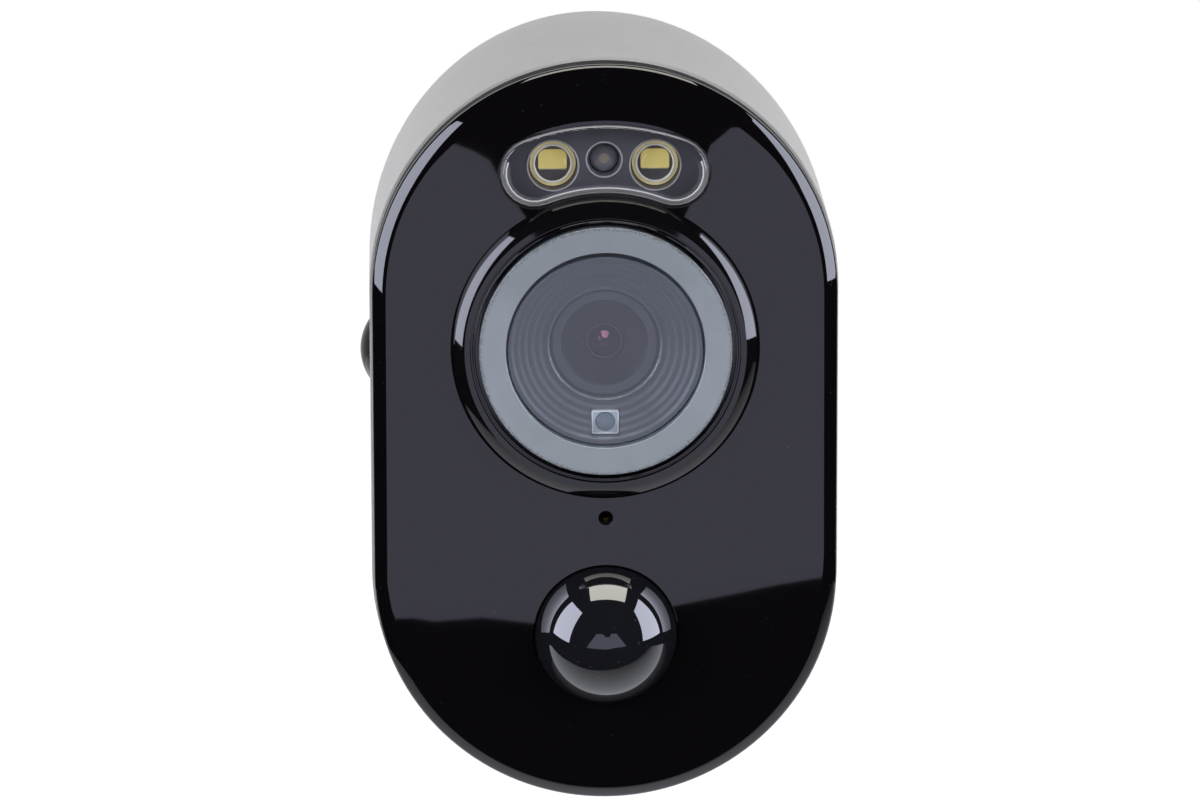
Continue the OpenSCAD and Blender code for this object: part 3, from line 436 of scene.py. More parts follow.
def frosted_grey():
    """Blue-grey frosted glass under a thin gloss, with a speckled outer edge."""
    finish = Finish("ring_grey")
    about = finish.node("VectorMath", {0: finish.place, 1: LENS * MM}, operation="SUBTRACT")
    across = finish.node("VectorMath", {0: about.outputs[0], 1: (1, 0, 1)}, operation="MULTIPLY")
    out = finish.node("VectorMath", {0: across.outputs[0]}, operation="LENGTH").outputs["Value"]
    rim = radius("glass_ring") * MM
    near = finish.ramp(out, rim - 0.75 * MM, rim - 0.15 * MM, 0, 0.34)
    grain = finish.noise(0.16, 2, 0.6)
    both = finish.node("Math", {0: grain, 1: near}, operation="ADD").outputs[0]
    specks = finish.ramp(both, 0.78, 0.86, 0, 0.7)
    broad = finish.blend(finish.noise(2.6, 2), rgb("9098a2"), rgb("99a1ab"))
    tint = finish.blend(specks, broad, rgb("3c4048"))
    uneven = finish.ramp(finish.noise(1.1, 4), 0.3, 0.7, 0.32, 0.48)
    return finish.surface({"Base Color": tint, "Roughness": uneven, "Normal": finish.bump(grain, 0.002)},
                          Coat_Weight=0.5, Coat_Roughness=0.05)


def board_green():
    """Solder mask with faint tracks."""
    finish = Finish("board_green")
    tracks = finish.node("TexVoronoi", {"Vector": finish.place}, Scale=420, distance="MANHATTAN")
    lines = finish.ramp(tracks.outputs["Distance"], 0.3, 0.5)
    tint = finish.blend(lines, rgb("0c3d2a"), rgb("15573b"))
    return finish.surface({"Base Color": tint, "Normal": finish.bump(lines, 0.03)}, Roughness=0.35)


def worked_metal(name, code, rough):
    """Turned or drawn metal with fine tool marks."""
    finish = Finish(name)
    color = rgb(code)
    marks = finish.noise(0.5, 4, 0.6)
    tint = finish.blend(finish.noise(4), shade(color, 0.88), shade(color, 1.1))
    uneven = finish.ramp(marks, 0.3, 0.7, rough - 0.08, rough + 0.1)
    bump = finish.bump(marks, 0.004)
    return finish.surface({"Base Color": tint, "Roughness": uneven, "Normal": bump}, Metallic=1.0)


GLOSS_BLACK = polished("gloss_black", "0b090c")
BEZEL_BLACK = polished("bezel_black", "0d0c0f", 0.03, 0.1)
SKIRT_BLACK = moulded("skirt_black", "17171a", 0.6, 0.08, 0.3, 0.004, 0.06, IOR=1.25)
DOME_BLACK = polished("dome_black", "191a1f", 0.012, 0.5, 1.64)
SHELL_WHITE = moulded("shell_white", "d3d3d4", 0.36, 0.05, 0.3, 0.0035, 0.012, dust=0.05)
RING_GREY = frosted_grey()
BAFFLE_DARK = moulded("baffle_dark", "37383e", 0.42, 0.06, 0.4, 0.0006, 0.05)
# Lighter copy of the baffle grey for the slanted step faces: a painted highlight along the step edges.
BAFFLE_LIT_EDGE = moulded("baffle_edge_painted_highlight", "4f525a", 0.35, 0.06, 0.4, 0.0006, 0.05)
BARREL_DARK = moulded("barrel_dark", "151518", 0.35, 0.06, 0.4, 0.0006, 0.05)
# Pale rims of the reflector cups and sensor: a painted highlight, the bright circles of light on these
# edges.
RIM_PAINTED_HIGHLIGHT = moulded("rim_painted_highlight", "b4b4ba", 0.15, 0.03, 0.4, 0.0006, 0.04)
TRAY_GREY = moulded("tray_grey", "54545d", 0.45, 0.08, 0.4, 0.001, 0.05)
SEAL_BLACK = moulded("seal_black", "0b0b0c", 0.7, 0.08, 0.25, 0.01, 0.1)
FLAP_RUBBER = moulded("flap_rubber", "c4c5c8", 0.6, 0.07, 0.25, 0.008, 0.02)
ARM_WHITE = moulded("arm_white", "d2d3d5", 0.4, 0.06, 0.35, 0.006, 0.015, dust=0.05)
KNOB_BLACK = moulded("knob_black", "101013", 0.09, 0.03, 0.4, 0.002, 0.05, IOR=1.2)
GRIP_BLACK = moulded("grip_black", "1a1a1d", 0.5, 0.08, 0.3, 0.012, 0.08)
PANEL_BLACK = moulded("panel_black", "1d1d20", 0.5, 0.08, 0.2, 0.008, 0.06)
PAD_RUBBER = moulded("pad_rubber", "202022", 0.8, 0.08, 0.3, 0.02, 0.1)
NYLON = moulded("nylon", "cfcfc8", 0.5, 0.08, 0.3, 0.01, 0.04)
STEEL = worked_metal("steel", "a3a5aa", 0.3)
BRASS = worked_metal("brass", "c09a48", 0.3)
BOARD_GREEN = board_green()

# ---- Front of the camera ----
COVER_T = 2.4
COVER_WALL = 1.9
# Arcs of the cover's edge: radius, first and last lean in degrees
COVER_EDGE = [(1.2, 0, 28), (7.2, 28, 37), (1.0, 37, 52), (0.5, 52, 90)]
MIC_R = 0.6
DOME_FLANGE = 1
BEZEL_R = radius("lens_bezel")
BEZEL_LAND_R = 16.7
# Groove between the lands: outer radius, inner radius, depth
BEZEL_GROOVE = (16.22, 15.95, 0.4)
BEZEL_H = -corners("lens_bezel", LENS)[0].y
RING_R = radius("glass_ring")
RING_H = -corners("glass_ring", LENS)[0].y
RING_SEAT_D = 0.6
GLASS_R = radius("cover_glass")
GLASS_H = -corners("cover_glass", LENS)[0].y
GLASS_BACK = -GLASS_H + 1.2
BARREL_R = radius("lens_barrel")
BARREL_D = corners("lens_barrel", LENS)[0].y
LENS_HOLE_R = 2.3
WINDOW_MID_R = 23.0
WINDOW_HALF = 4.3
WINDOW_ANGLE = 21.4
window_low, window_high = corners("spotlight_window", LENS)
tray_low, tray_high = corners("spotlight_tray", FACE)
TRAY_D = tray_low.y
# The photo shows lamps and daylight sensor a little lower, and the infrared
# lamp a little higher and flatter, than their solids.
LAMP_DROP = 0.3
INFRARED_RISE = 0.34
INFRARED_TRIM = 0.2
lamp_low, lamp_high = corners("spotlight_leds", LENS)
LAMP_R = (lamp_high.z - lamp_low.z) / 2
LAMP_X = (lamp_high.x - lamp_low.x) / 2 - LAMP_R
LAMP_Z = (lamp_high.z + lamp_low.z) / 2 - LAMP_DROP
LAMP_D = lamp_high.y
LAMP_LENS_R = 2.25
CUP_R = 3.04
day_low, day_high = corners("daylight_sensor", LENS)
DAY_Z = (day_low.z + day_high.z) / 2 - LAMP_DROP
DAY_R = radius("daylight_sensor")
EYE_R = 2.1


def band_ring(half, d, lift=0.0, ends=12, sides=28):
    """Ring of points round the curved window, about the lens axis. Lift bows its upper side out."""
    def at(r, a):
        return Vector((r * math.sin(math.radians(a)), r * math.cos(math.radians(a))))

    points = []
    for i in range(sides + 1):
        share = 2 * i / sides - 1
        points.append(at(WINDOW_MID_R + half + lift * (1 - share ** 2), WINDOW_ANGLE * share))
    for i in range(1, ends):
        points.append(at(WINDOW_MID_R, WINDOW_ANGLE) + at(half, WINDOW_ANGLE + 180 * i / ends))
    for i in range(sides + 1):
        points.append(at(WINDOW_MID_R - half, WINDOW_ANGLE * (1 - 2 * i / sides)))
    for i in range(1, ends):
        points.append(at(WINDOW_MID_R, -WINDOW_ANGLE) + at(half, 180 - WINDOW_ANGLE + 180 * i / ends))
    return [(p.x, d, p.y) for p in points]


def edge_profile(arcs, step=4.5):
    """Points of an edge made of arcs, outward from the flat face: radius, first and last lean."""
    points = [(0.0, 0.0)]
    for r, first, last in arcs:
        u, d = points[-1]
        start = math.radians(first)
        count = round((last - first) / step)
        for k in range(1, count + 1):
            a = math.radians(first + (last - first) * k / count)
            out = r * (math.sin(a) - math.sin(start))
            points.append((u + out, d + r * (math.cos(start) - math.cos(a))))
    return points


def front_cover():
    """Glossy stadium shell with the window, lens, dome and microphone openings."""
    edge = edge_profile(COVER_EDGE)
    edge_r, edge_d = edge[-1]
    flat_r = COVER_R - edge_r
    rings = [stadium(flat_r - 0.2, 0)] + [stadium(flat_r + u, d) for u, d in edge]
    rings += [stadium(COVER_R, edge_d + 0.3), stadium(COVER_R, COVER_D - 0.15),
              stadium(COVER_R - 0.15, COVER_D), stadium(COVER_R - COVER_WALL, COVER_D),
              stadium(COVER_R - COVER_WALL, COVER_T)]
    shell = solid("cover_shell", loft(rings), FACE)
    gap = WINDOW_HALF + 0.05
    slot = loft([band_ring(gap + 0.04, -0.5, 0.75), band_ring(gap + 0.04, 0, 0.75),
                 band_ring(gap, 0.08), band_ring(gap, 4)])
    dome_r = radius("pir_dome") - DOME_FLANGE
    dome_hole = turned([(0, -0.5), (dome_r + 0.5, -0.5), (dome_r + 0.3, 0), (dome_r + 0.12, 0.15),
                        (dome_r + 0.1, 4), (0, 4)])
    mic_hole = turned([(0, -0.5), (MIC_R + 0.6, -0.5), (MIC_R + 0.3, 0), (MIC_R, 0.35), (MIC_R, 4),
                       (0, 4)], 32)
    combine(shell, [tool(rod(BEZEL_R - 1.2, -1, 4), LENS), tool(slot, LENS), tool(dome_hole, DOME),
                    tool(mic_hole, MIC)])
    wall_y = (FACE.y + edge_d + 0.2) * MM
    paint(shell, [GLOSS_BLACK, SKIRT_BLACK],
          lambda face: int(abs(face.normal.y) < 0.05 and face.center.y > wall_y))
    dress(shell, None, "front_cover")


def lens_bezel():
    """Raised rim round the lens with two lands and a groove between them."""
    run = BEZEL_R - BEZEL_LAND_R
    steps = 24
    rise = [0.0]
    for k in range(steps):
        x = (k + 0.5) / steps
        slope = 0
        if x >= 0.74:
            slope = 58 + 12 * (x - 0.74) / 0.26
        elif x >= 0.13:
            slope = 28 + 9 * (x - 0.13) / 0.61
        rise.append(rise[-1] + math.tan(math.radians(slope)))
    side = []
    for k in range(steps + 1):
        side.append((BEZEL_R - run * k / steps, -BEZEL_H * (1 - rise[steps - k] / rise[-1])))
    groove_out, groove_in, groove_d = BEZEL_GROOVE
    top = rounded([(BEZEL_LAND_R, -BEZEL_H), (groove_out, -BEZEL_H, 0.06),
                   (groove_out, -BEZEL_H + groove_d, 0.05), (groove_in, -BEZEL_H + groove_d, 0.05),
                   (groove_in, -BEZEL_H, 0.06), (RING_R + 0.45, -BEZEL_H, 0.1),
                   (RING_R + 0.45, RING_SEAT_D), (GLASS_R + 0.1, RING_SEAT_D), (GLASS_R + 0.1, COVER_T),
                   (BEZEL_R - 1.3, COVER_T), (BEZEL_R - 1.3, 0)], False, 3)
    piece = solid("bezel_rim", lathe(side + top[1:], 144), LENS)
    dress(piece, BEZEL_BLACK, "lens_bezel", smooth=15)


def glass_ring():
    """Blue-grey ring round the lens glass, its front slightly conical."""
    back = RING_SEAT_D - 0.05
    outline = rounded([(GLASS_R + 0.03, back), (GLASS_R + 0.03, RING_SEAT_D - RING_H, 0.14),
                       (RING_R - 0.3, -RING_H, 0.1), (RING_R, -RING_H, 0.12), (RING_R, back)])
    piece = solid("ring_frosted", lathe(outline, 144), LENS)
    dress(piece, RING_GREY, "glass_ring")


def cover_glass():
    """Clear disc over the lens."""
    outline = [(0, -GLASS_H), (GLASS_R - 0.5, -GLASS_H), (GLASS_R - 0.25, -GLASS_H),
               (GLASS_R - 0.07, -GLASS_H + 0.07), (GLASS_R, -GLASS_H + 0.25), (GLASS_R, GLASS_BACK),
               (0, GLASS_BACK)]
    piece = solid("lens_window", turned(outline, 128), LENS)
    outer = clear("glass_outer", 0.078, (0.93, 0.95, 0.97, 1), (0.94, 1.0, 1.0, 1))
    inner = see_through("glass_inner", (0.97, 0.98, 0.99, 1))
    paint(piece, [outer, inner], lambda face: 0 if face.normal.y < -0.2 else 1)
    dress(piece, None, "cover_glass")


def lens_baffle():
    """Stepped rings between the glass and the lens, with a place for the infrared lamp."""
    front = GLASS_BACK + 0.02
    top = GLASS_BACK + 0.4
    step = 0.5
    radii = [GLASS_R - inset for inset in (0.75, 1.55, 2.35, 3.25, 4.15)]
    outline = [(GLASS_R - 0.05, front), (radii[0] + 0.1, front, 0.08)]
    for k, r in enumerate(radii):
        outline.append((r - 0.2, top + k * step, 0.1))
        if k < 4:
            outline.append((radii[k + 1] + 0.12, top + k * step, 0.08))
    end = top + 4 * step
    back = 4.2
    outline += [(BARREL_R + 0.55, end, 0.06), (BARREL_R + 0.34, end - 0.28, 0.08), (BARREL_R + 0.06, end),
                (BARREL_R + 0.06, back), (GLASS_R - 0.05, back)]
    piece = solid("baffle_steps", lathe(rounded(outline, True, 3), 128), LENS)
    low, high = corners("ir_led", LENS)
    floor_z = low.z + INFRARED_RISE + INFRARED_TRIM - 0.1
    hole = box_form((low.x - 0.1, -1, floor_z), (high.x + 0.1, 6, high.z + INFRARED_RISE - 0.1))
    combine(piece, [tool(hole, LENS)])
    # The slanted step faces take the lighter grey, painting highlight lines on the step edges.
    paint(piece, [BAFFLE_DARK, BAFFLE_LIT_EDGE], lambda face: int(-0.92 < face.normal.y < -0.2))
    dress(piece, None, "lens_baffle")


def lens_barrel():
    """Threaded barrel with a coned front round the small front lens."""
    back = corners("lens_barrel", LENS)[1].y
    lip = 5.3
    outline = [(BARREL_R, 0.4), (BARREL_R - 0.3, 0), (lip, 0, 0.1), (lip - 0.2, 0.35, 0.1),
               (LENS_HOLE_R + 0.5, 0.95, 0.1), (LENS_HOLE_R + 0.1, 0.8, 0.1), (LENS_HOLE_R, 1.2),
               (LENS_HOLE_R, 2.6), (BARREL_R - 2, 3.6), (BARREL_R - 2, back - BARREL_D),
               (BARREL_R, back - BARREL_D)]
    outline = [(point[0], BARREL_D + point[1], *point[2:]) for point in outline]
    piece = solid("barrel_front", lathe(rounded(outline, True, 3), 128), LENS)

    # The barrel's front-facing outer rim takes the lighter baffle grey: a painted lighter band where light
    # falls on it.
    def lit_front_rim(face):
        out = math.hypot(face.center.x - LENS.x * MM, face.center.z - LENS.z * MM)
        return int(out > (lip - 0.15) * MM and face.normal.y < -0.5)

    paint(piece, [BARREL_DARK, BAFFLE_DARK], lit_front_rim)
    dress(piece, None, "lens_barrel")


def front_lens():
    """Small coated front lens and the lenses behind it."""
    finish = Finish("lens_coated")
    coated = finish.surface({"Roughness": finish.ramp(finish.noise(1.0), 0.3, 0.8, 0.02, 0.05)}, IOR=1.55,
                            Base_Color=rgb("15141a"), Specular_Tint=rgb("ffa4cb"))
    d = BARREL_D + 1.31
    leans = [(0.14, 2 + 4 * k) for k in range(5)] + [(0.76, 39.1)] + [(0.13, 50 + 7 * k) for k in range(4)]
    cap = [(0.0, 0.0)]
    for run, lean in leans:
        r, fall = cap[-1]
        cap.append((r + run, fall + run * math.tan(math.radians(lean))))
    cap = [(r, d - cap[-1][1] + fall) for r, fall in cap]
    front = turned(cap + [(LENS_HOLE_R - 0.1, d), (LENS_HOLE_R - 0.1, d + 1.2), (0, d + 1.2)], 64)
    inner_r = BARREL_R - 2.05
    disc = turned(rounded([(0, 0), (inner_r, 0, 0.2), (inner_r, 2, 0.2), (0, 2)], False), 64)
    inner = [moved(disc, 0, BARREL_D + depth) for depth in (5, 9)]
    piece = solid("lens_glass", joined(front, *inner), LENS)
    dress(piece, coated, "lens_elements", smooth=9)


def infrared_lamp():
    """Pale package with a raised square rim and a round lens over the emitter; the rim is paler still, a
    painted highlight along the package's edge.
    """
    low, high = corners("ir_led", LENS)
    w = (high.x - low.x) / 2
    h = w - INFRARED_TRIM
    base = LENS + Vector((0, 0, (high.z + low.z) / 2 + INFRARED_RISE))
    top = 1.2
    body = box_form((0.12 - w, top + 0.06, 0.12 - h), (w - 0.12, high.y, h - 0.12), 0.2)
    body = solid("ir_package", body, base)
    well = [(0, -1), (1.42, -1), (1.3, 0.07), (1.05, 0.6), (0, 0.6)]
    combine(body, [tool(turned([(r, top + d) for r, d in well], 48), base)])
    dress(body, moulded("ir_package", "b4bec8", 0.45, 0.05, 0.4, 0.001), "ir_led")
    profile = [(0, high.y), (0, top + 0.05), (0.04, top), (0.14, top), (0.18, top + 0.05), (0.18, high.y)]
    rings = [rounded_box(w - inset, h - inset, 0.28 - inset, d, 5) for inset, d in profile]
    rim = solid("ir_rim_painted_highlight", loft(rings, loop=True), base)
    # The rim's paler colour paints the highlight along the package's square edge.
    dress(rim, moulded("ir_rim_painted_highlight", "eef4fa", 0.3, 0.05, 0.4, 0.001), "ir_led", stands=False)
    lens = solid("ir_lens", turned(lens_cap(1.15, top + 0.45, 0.5, 8, top + 0.58), 48), base)
    dress(lens, moulded("ir_lens", "6b7682", 0.08, 0.03, 0.5, 0.0005), "ir_led", stands=False)


def lens_cap(r, d, height, steps, back):
    """Outline of a bulged lens with a flat back."""
    return [(r * u, d - height * v) for u, v in arc(0, 0, 1, 90, 0, steps)] + [(r, back), (0, back)]


def spotlight_window():
    """Clear curved window with round edges and a flange behind the cover."""
    half = WINDOW_HALF - 0.05
    front = window_low.y - 0.2
    edge = 1.1
    rings = [band_ring(half - edge - 0.25, front)]
    for a in [math.pi / 2 * k / 10 for k in range(11)]:
        rings.append(band_ring(half - edge + edge * math.sin(a), front + edge * (1 - math.cos(a))))
    for wider, d in ((0, COVER_T + 0.05), (1, COVER_T + 0.05), (1, window_high.y)):
        rings.append(band_ring(half + wider, d))
    piece = solid("window_clear", loft(rings), LENS)

    # Faces leaning 45-63 degrees all round, and 9-45 degrees on the lower side and ends, take the pale edge
    # materials: painted highlight lines along the window's edge.
    def by_lean(face):
        tilt = face.normal
        flat = math.hypot(tilt.x, tilt.z)
        lean = math.degrees(math.atan2(flat, -tilt.y))
        low_side = flat > 0 and tilt.z / flat < 0.35
        if 45 < lean < 63 or low_side and 9 < lean < 18:
            return 3
        if low_side and 18 < lean < 45:
            return 2
        return 0 if lean < 80 else 1

    paint(piece, [clear("window_outer", 0.05, (0.98, 0.98, 0.99, 1)),
                  see_through("window_inner", (0.99, 0.99, 1.0, 1)),
                  painted_edge_light("window_edge_painted_highlight", "c6c7cd", 0.4), painted_edge_light("window_rim_painted_highlight", "fbfbfd", 0.9)], by_lean)
    dress(piece, None, "spotlight_window")


def spotlight_tray():
    """Tray behind the window with two reflector cups."""
    thick = tray_high.y - TRAY_D
    rings = [band_ring(WINDOW_HALF + 0.9, TRAY_D), band_ring(WINDOW_HALF + 0.9, TRAY_D + thick)]
    piece = solid("tray_plate", loft(rings), LENS)
    cup = turned([(0, TRAY_D - 1), (CUP_R + 0.06, TRAY_D - 1), (CUP_R, TRAY_D),
                  (LAMP_R + 0.2, TRAY_D + thick * 0.8), (LAMP_R + 0.2, TRAY_D + thick + 1),
                  (0, TRAY_D + thick + 1)], 64)
    eye = turned([(0, TRAY_D - 1), (EYE_R + 0.05, TRAY_D - 1), (EYE_R, TRAY_D), (DAY_R + 0.1, TRAY_D + 0.5),
                  (DAY_R + 0.1, TRAY_D + 4), (0, TRAY_D + 4)], 48)
    places = [(cup, -LAMP_X, LAMP_Z), (cup, LAMP_X, LAMP_Z), (eye, 0, DAY_Z)]
    combine(piece, [tool(moved(form, x, 0, z), LENS) for form, x, z in places])
    dress(piece, TRAY_GREY, "spotlight_tray")
    # Thin pale rings round the cups and the sensor paint the bright circles of light on their edges.
    rims = []
    for x, z, r in ((-LAMP_X, LAMP_Z, CUP_R), (LAMP_X, LAMP_Z, CUP_R), (0, DAY_Z, EYE_R)):
        rims.append(moved(lathe(arc(r + 0.04, TRAY_D, 0.11, 0, 330, 11), 72), x, 0, z))
    rim = solid("tray_rims", joined(*rims), LENS)
    dress(rim, RIM_PAINTED_HIGHLIGHT, "spotlight_tray", stands=False, smooth=60)


def spotlight_lamps():
    """Two white lamps: a yellow rim, a dark well with the phosphor chip, and a clear lens; rim, chip and
    bead glow, painted light.
    """
    # Emission on the phosphor rim and the chip is a painted glow, standing in for light reaching them
    # through the window.
    phosphor = moulded("phosphor", "fbeeb6", 0.5, 0.06, 0.3, 0.001, 0.04,
                       Emission_Color=rgb("f8e6a0"), Emission_Strength=0.13)
    chip_yellow = moulded("chip_yellow", "ffea94", 0.5, 0.06, 0.3, 0.001, 0.05,
                          Emission_Color=rgb("ffe688"), Emission_Strength=0.19)
    chip_white = moulded("chip_white", "e9e4c8", 0.5, 0.06, 0.3, 0.001, 0.03)
    well_grey = moulded("well_grey", "62636a", 0.4, 0.06, 0.3, 0.001, 0.05)
    # The bead's white emission is a painted glow on the lamp lens rim.
    bead = moulded("lamp_bead", "fbfbf8", 0.15, 0.04, 0.4, 0.0006, 0.03,
                   Emission_Color=rgb("f4f4ee"), Emission_Strength=0.12)
    outer = clear("lamp_outer", 0.025, (0.99, 0.99, 0.98, 1))
    inner = see_through("lamp_inner", (0.98, 0.98, 0.97, 1))
    d = LAMP_D - 0.5
    r = LAMP_LENS_R
    rim_r = LAMP_R + 0.12
    rim_form = lathe(rounded([(r - 0.02, d + 0.2), (r + 0.15, d, 0.08), (rim_r, d - 0.05, 0.08),
                              (rim_r, LAMP_D), (r - 0.02, LAMP_D)]), 72)
    well_form = rod(r - 0.03, d + 0.3, LAMP_D, 48)
    w = 1.72
    shape = rounded([(-w, -0.66, 0.15), (w, -0.66, 0.15), (w, 1.66, 0.95), (-w, 1.66, 0.95)])
    chip_form = loft([[(u, at, v) for u, v in shape] for at in (d + 0.1, d + 0.35)])
    strip_form = box_form((0.08 - w, d + 0.08, -0.84), (w - 0.08, d + 0.35, -0.66), 0.08)
    bead_form = lathe(arc(r + 0.03, d - 0.08, 0.16, 0, 330, 11), 72)
    lens_form = turned(lens_cap(r, d, 1.5, 14, d + 0.05), 64)
    for side, word in ((-1, "left"), (1, "right")):
        base = LENS + Vector((side * LAMP_X, 0, LAMP_Z))
        dress(solid("lamp_rim_" + word, rim_form, base), phosphor, "spotlight_leds")
        for name, form, material, smooth in (
                ("lamp_well_", well_form, well_grey, 32), ("lamp_chip_", chip_form, chip_yellow, 32),
                ("lamp_strip_", strip_form, chip_white, 32), ("lamp_bead_", bead_form, bead, 60)):
            part = solid(name + word, form, base)
            dress(part, material, "spotlight_leds", stands=False, smooth=smooth)
        lens = solid("lamp_lens_" + word, lens_form, base)
        paint(lens, [outer, inner], lambda face: 0 if face.normal.y < -0.05 else 1)
        dress(lens, None, "spotlight_leds", stands=False)


def daylight_sensor():
    """Small smoked lens over the daylight sensor, with the light cell under its middle."""
    base = LENS + Vector((0, 0, DAY_Z))
    front = day_low.y
    piece = solid("daylight_lens", turned(lens_cap(DAY_R, front + 0.35, 0.35, 10, day_high.y), 48), base)
    dress(piece, moulded("daylight_lens", "6c6d76", 0.2, 0.04, 0.4, 0.0005), "daylight_sensor")
    r = 0.65
    dot = [(r * u, front - 0.04 + 0.07 * (1 - v)) for u, v in arc(0, 0, 1, 90, 0, 5)]
    cell = solid("daylight_cell", turned(dot + [(r, front + 0.2), (0, front + 0.2)], 32), base)
    dress(cell, moulded("daylight_cell", "8f867c", 0.35, 0.04, 0.4, 0.0005), "daylight_sensor", stands=False)


def motion_dome():
    """Glossy dome over the motion sensor, with its flange behind the cover."""
    low, high = corners("pir_dome", DOME)
    r = high.x - DOME_FLANGE
    out = -low.y
    ball = (r * r + out * out) / (2 * out)
    c = ball - out
    end = math.asin(r / ball)
    hollow = ball - 0.9
    inner_end = math.acos(c / hollow)
    outer = [(ball * math.sin(a), c - ball * math.cos(a)) for a in spread(0, end, 36)]
    inner = [(hollow * math.sin(a), c - hollow * math.cos(a)) for a in spread(0, inner_end, 18)]
    inner.reverse()
    flange = [(r, COVER_T + 0.05), (high.x, COVER_T + 0.05), (high.x, high.y), (inner[0][0], high.y)]
    piece = solid("dome_shell", turned(outer + flange + inner, 128), DOME)
    dress(piece, DOME_BLACK, "pir_dome")


# ---- Housing and what its rear carries ----
shell_low, shell_high = corners("rear_housing", FACE)
HOUSING_R = radius("rear_housing")
HOUSING_D = shell_low.y
BODY_D = shell_high.y
STRAIGHT_D = 25.6
TAPER_SHARE = 0.884
TAPER_LEN = (BODY_D - STRAIGHT_D) / TAPER_SHARE
WALL_T = 2.4
REAR_T = 3.2
BOSS_R = 6.8
flap_low, flap_high = corners("port_flap", FACE)
FLAP_X = radius("port_flap")
FLAP_T = 0.75
PIN_LEN = 0.9
panel_low, panel_high = corners("port_panel", FACE)
insert_low, insert_high = corners("thread_insert", FACE)
STUD_Z = (insert_low.z + insert_high.z) / 2
BAY_Z = (panel_low.z + panel_high.z) / 2
BAY_X = panel_high.x
BAY_H = (panel_high.z - panel_low.z) / 2
SEAT_D = panel_high.y + 0.05
HINGE_D = (flap_low.y + 1 + BODY_D - 0.1 + 0.05) / 2


def taper(d, r, length):
    """Radius of the housing at a depth: straight, then along an ellipse."""
    if d <= STRAIGHT_D:
        return r
    return r * math.sqrt(1 - ((d - STRAIGHT_D) / length) ** 2)


def rear_housing():
    """White shell: straight at the cover, drawn in along an ellipse to the flat rear."""
    inner_r = HOUSING_R - WALL_T
    front = [(inner_r, HOUSING_D), (HOUSING_R - 0.14, HOUSING_D), (HOUSING_R - 0.04, HOUSING_D + 0.04),
             (HOUSING_R, HOUSING_D + 0.14), (HOUSING_R, HOUSING_D + 0.6)]
    curve = [(taper(d, HOUSING_R, TAPER_LEN), d) for d in spread(STRAIGHT_D, BODY_D - 1.0, 40)]
    rear_r = curve[-1][0]
    rear = [(rear_r - inset, BODY_D - d) for inset, d in
            ((0.55, 0.62), (1.2, 0.26), (2.0, 0.06), (2.7, 0))]
    inner_end = BODY_D - REAR_T
    inner = [(taper(d, inner_r, TAPER_LEN - REAR_T), d) for d in spread(STRAIGHT_D, inner_end, 14)]
    inner.reverse()
    outer_rings = [stadium(r, d) for r, d in front + curve + rear]
    inner_rings = [stadium(r, d) for r, d in inner] + [stadium(inner_r, HOUSING_D)]
    verts, faces = loft(outer_rings, cap=False)
    more_verts, more_faces = loft(inner_rings, cap=False)
    count = len(outer_rings[0])
    faces.append(tuple(range((len(outer_rings) - 1) * count, len(outer_rings) * count)))
    more_faces.append(tuple(range(count)))
    shell = solid("housing_shell", joined((verts, faces), (more_verts, more_faces)), FACE)
    boss = moved(rod(BOSS_R, BODY_D - 10, inner_end + 1, 64), 0, 0, STUD_Z)
    combine(shell, [tool(boss, FACE)], "UNION")
    bay = boxes(BAY_X, BAY_H, [(-0.1, 0.6, inner_end - 2), (-0.1, 0.6, BODY_D + 1)])
    bore_r = insert_high.x
    bore = turned([(0, BODY_D - 11), (bore_r, BODY_D - 11), (bore_r, BODY_D - 0.2),
                   (bore_r + 0.4, BODY_D + 0.2), (0, BODY_D + 0.2)], 64)
    bore = moved(bore, 0, 0, STUD_Z)
    cutters = [tool(bay, FACE + Vector((0, 0, BAY_Z))), flap_recess(), tool(bore, FACE)]
    combine(shell, cutters + grille_holes())
    dress(shell, SHELL_WHITE, "rear_housing")


def flap_recess():
    """Shallow seat of the port flap, with a scoop for a finger at its lower edge."""
    w = FLAP_X - PIN_LEN + 0.2
    z0 = flap_low.z - 0.2
    z1 = flap_high.z + 0.5
    h = (z1 - z0) / 2
    seat = boxes(w, h, [(0, 0.6, SEAT_D), (0, 0.6, BODY_D - 0.15), (-0.15, 0.75, BODY_D),
                        (-0.5, 1.1, BODY_D + 0.4)])
    seat = tool(moved(seat, 0, 0, (z0 + z1) / 2), FACE)
    scoop = turned([(0, SEAT_D + 0.2), (2.4, SEAT_D + 0.2), (3.6, BODY_D + 0.6), (0, BODY_D + 0.6)], 48)
    pins = along_x_rod(0.56, -FLAP_X - 0.1, FLAP_X + 0.1, HINGE_D, flap_high.z - FLAP_T)
    combine(seat, [tool(moved(scoop, 0, 0, z0 + 0.4), FACE), tool(pins, FACE)], "UNION")
    return seat


def along_x_rod(r, x0, x1, d, z, count=32):
    """Round bar along x."""
    return moved(along_x(rod(r, x0, x1, count)), 0, d, z)


def grille_holes():
    """Speaker holes in the underside: one, six and twelve."""
    low, high = corners("speaker", FACE)
    d0 = (low.y + high.y) / 2
    pitch = 2.4
    hole_r = 0.75
    places = [(0, 0)]
    for ring in (1, 2):
        for k in range(6 * ring):
            a = math.radians(k * 60 / ring)
            places.append((ring * pitch * math.cos(a), ring * pitch * math.sin(a)))
    z0 = -ARC_C - HOUSING_R - 0.5
    verts, faces = turned([(0, 0), (hole_r + 0.2, 0), (hole_r, 0.9), (hole_r, 6), (0, 6)], 24)
    holes = []
    for x, d in places:
        holes.append(tool(([(a + x, c + d0 + d, b + z0) for a, b, c in verts], faces), FACE))
    return holes


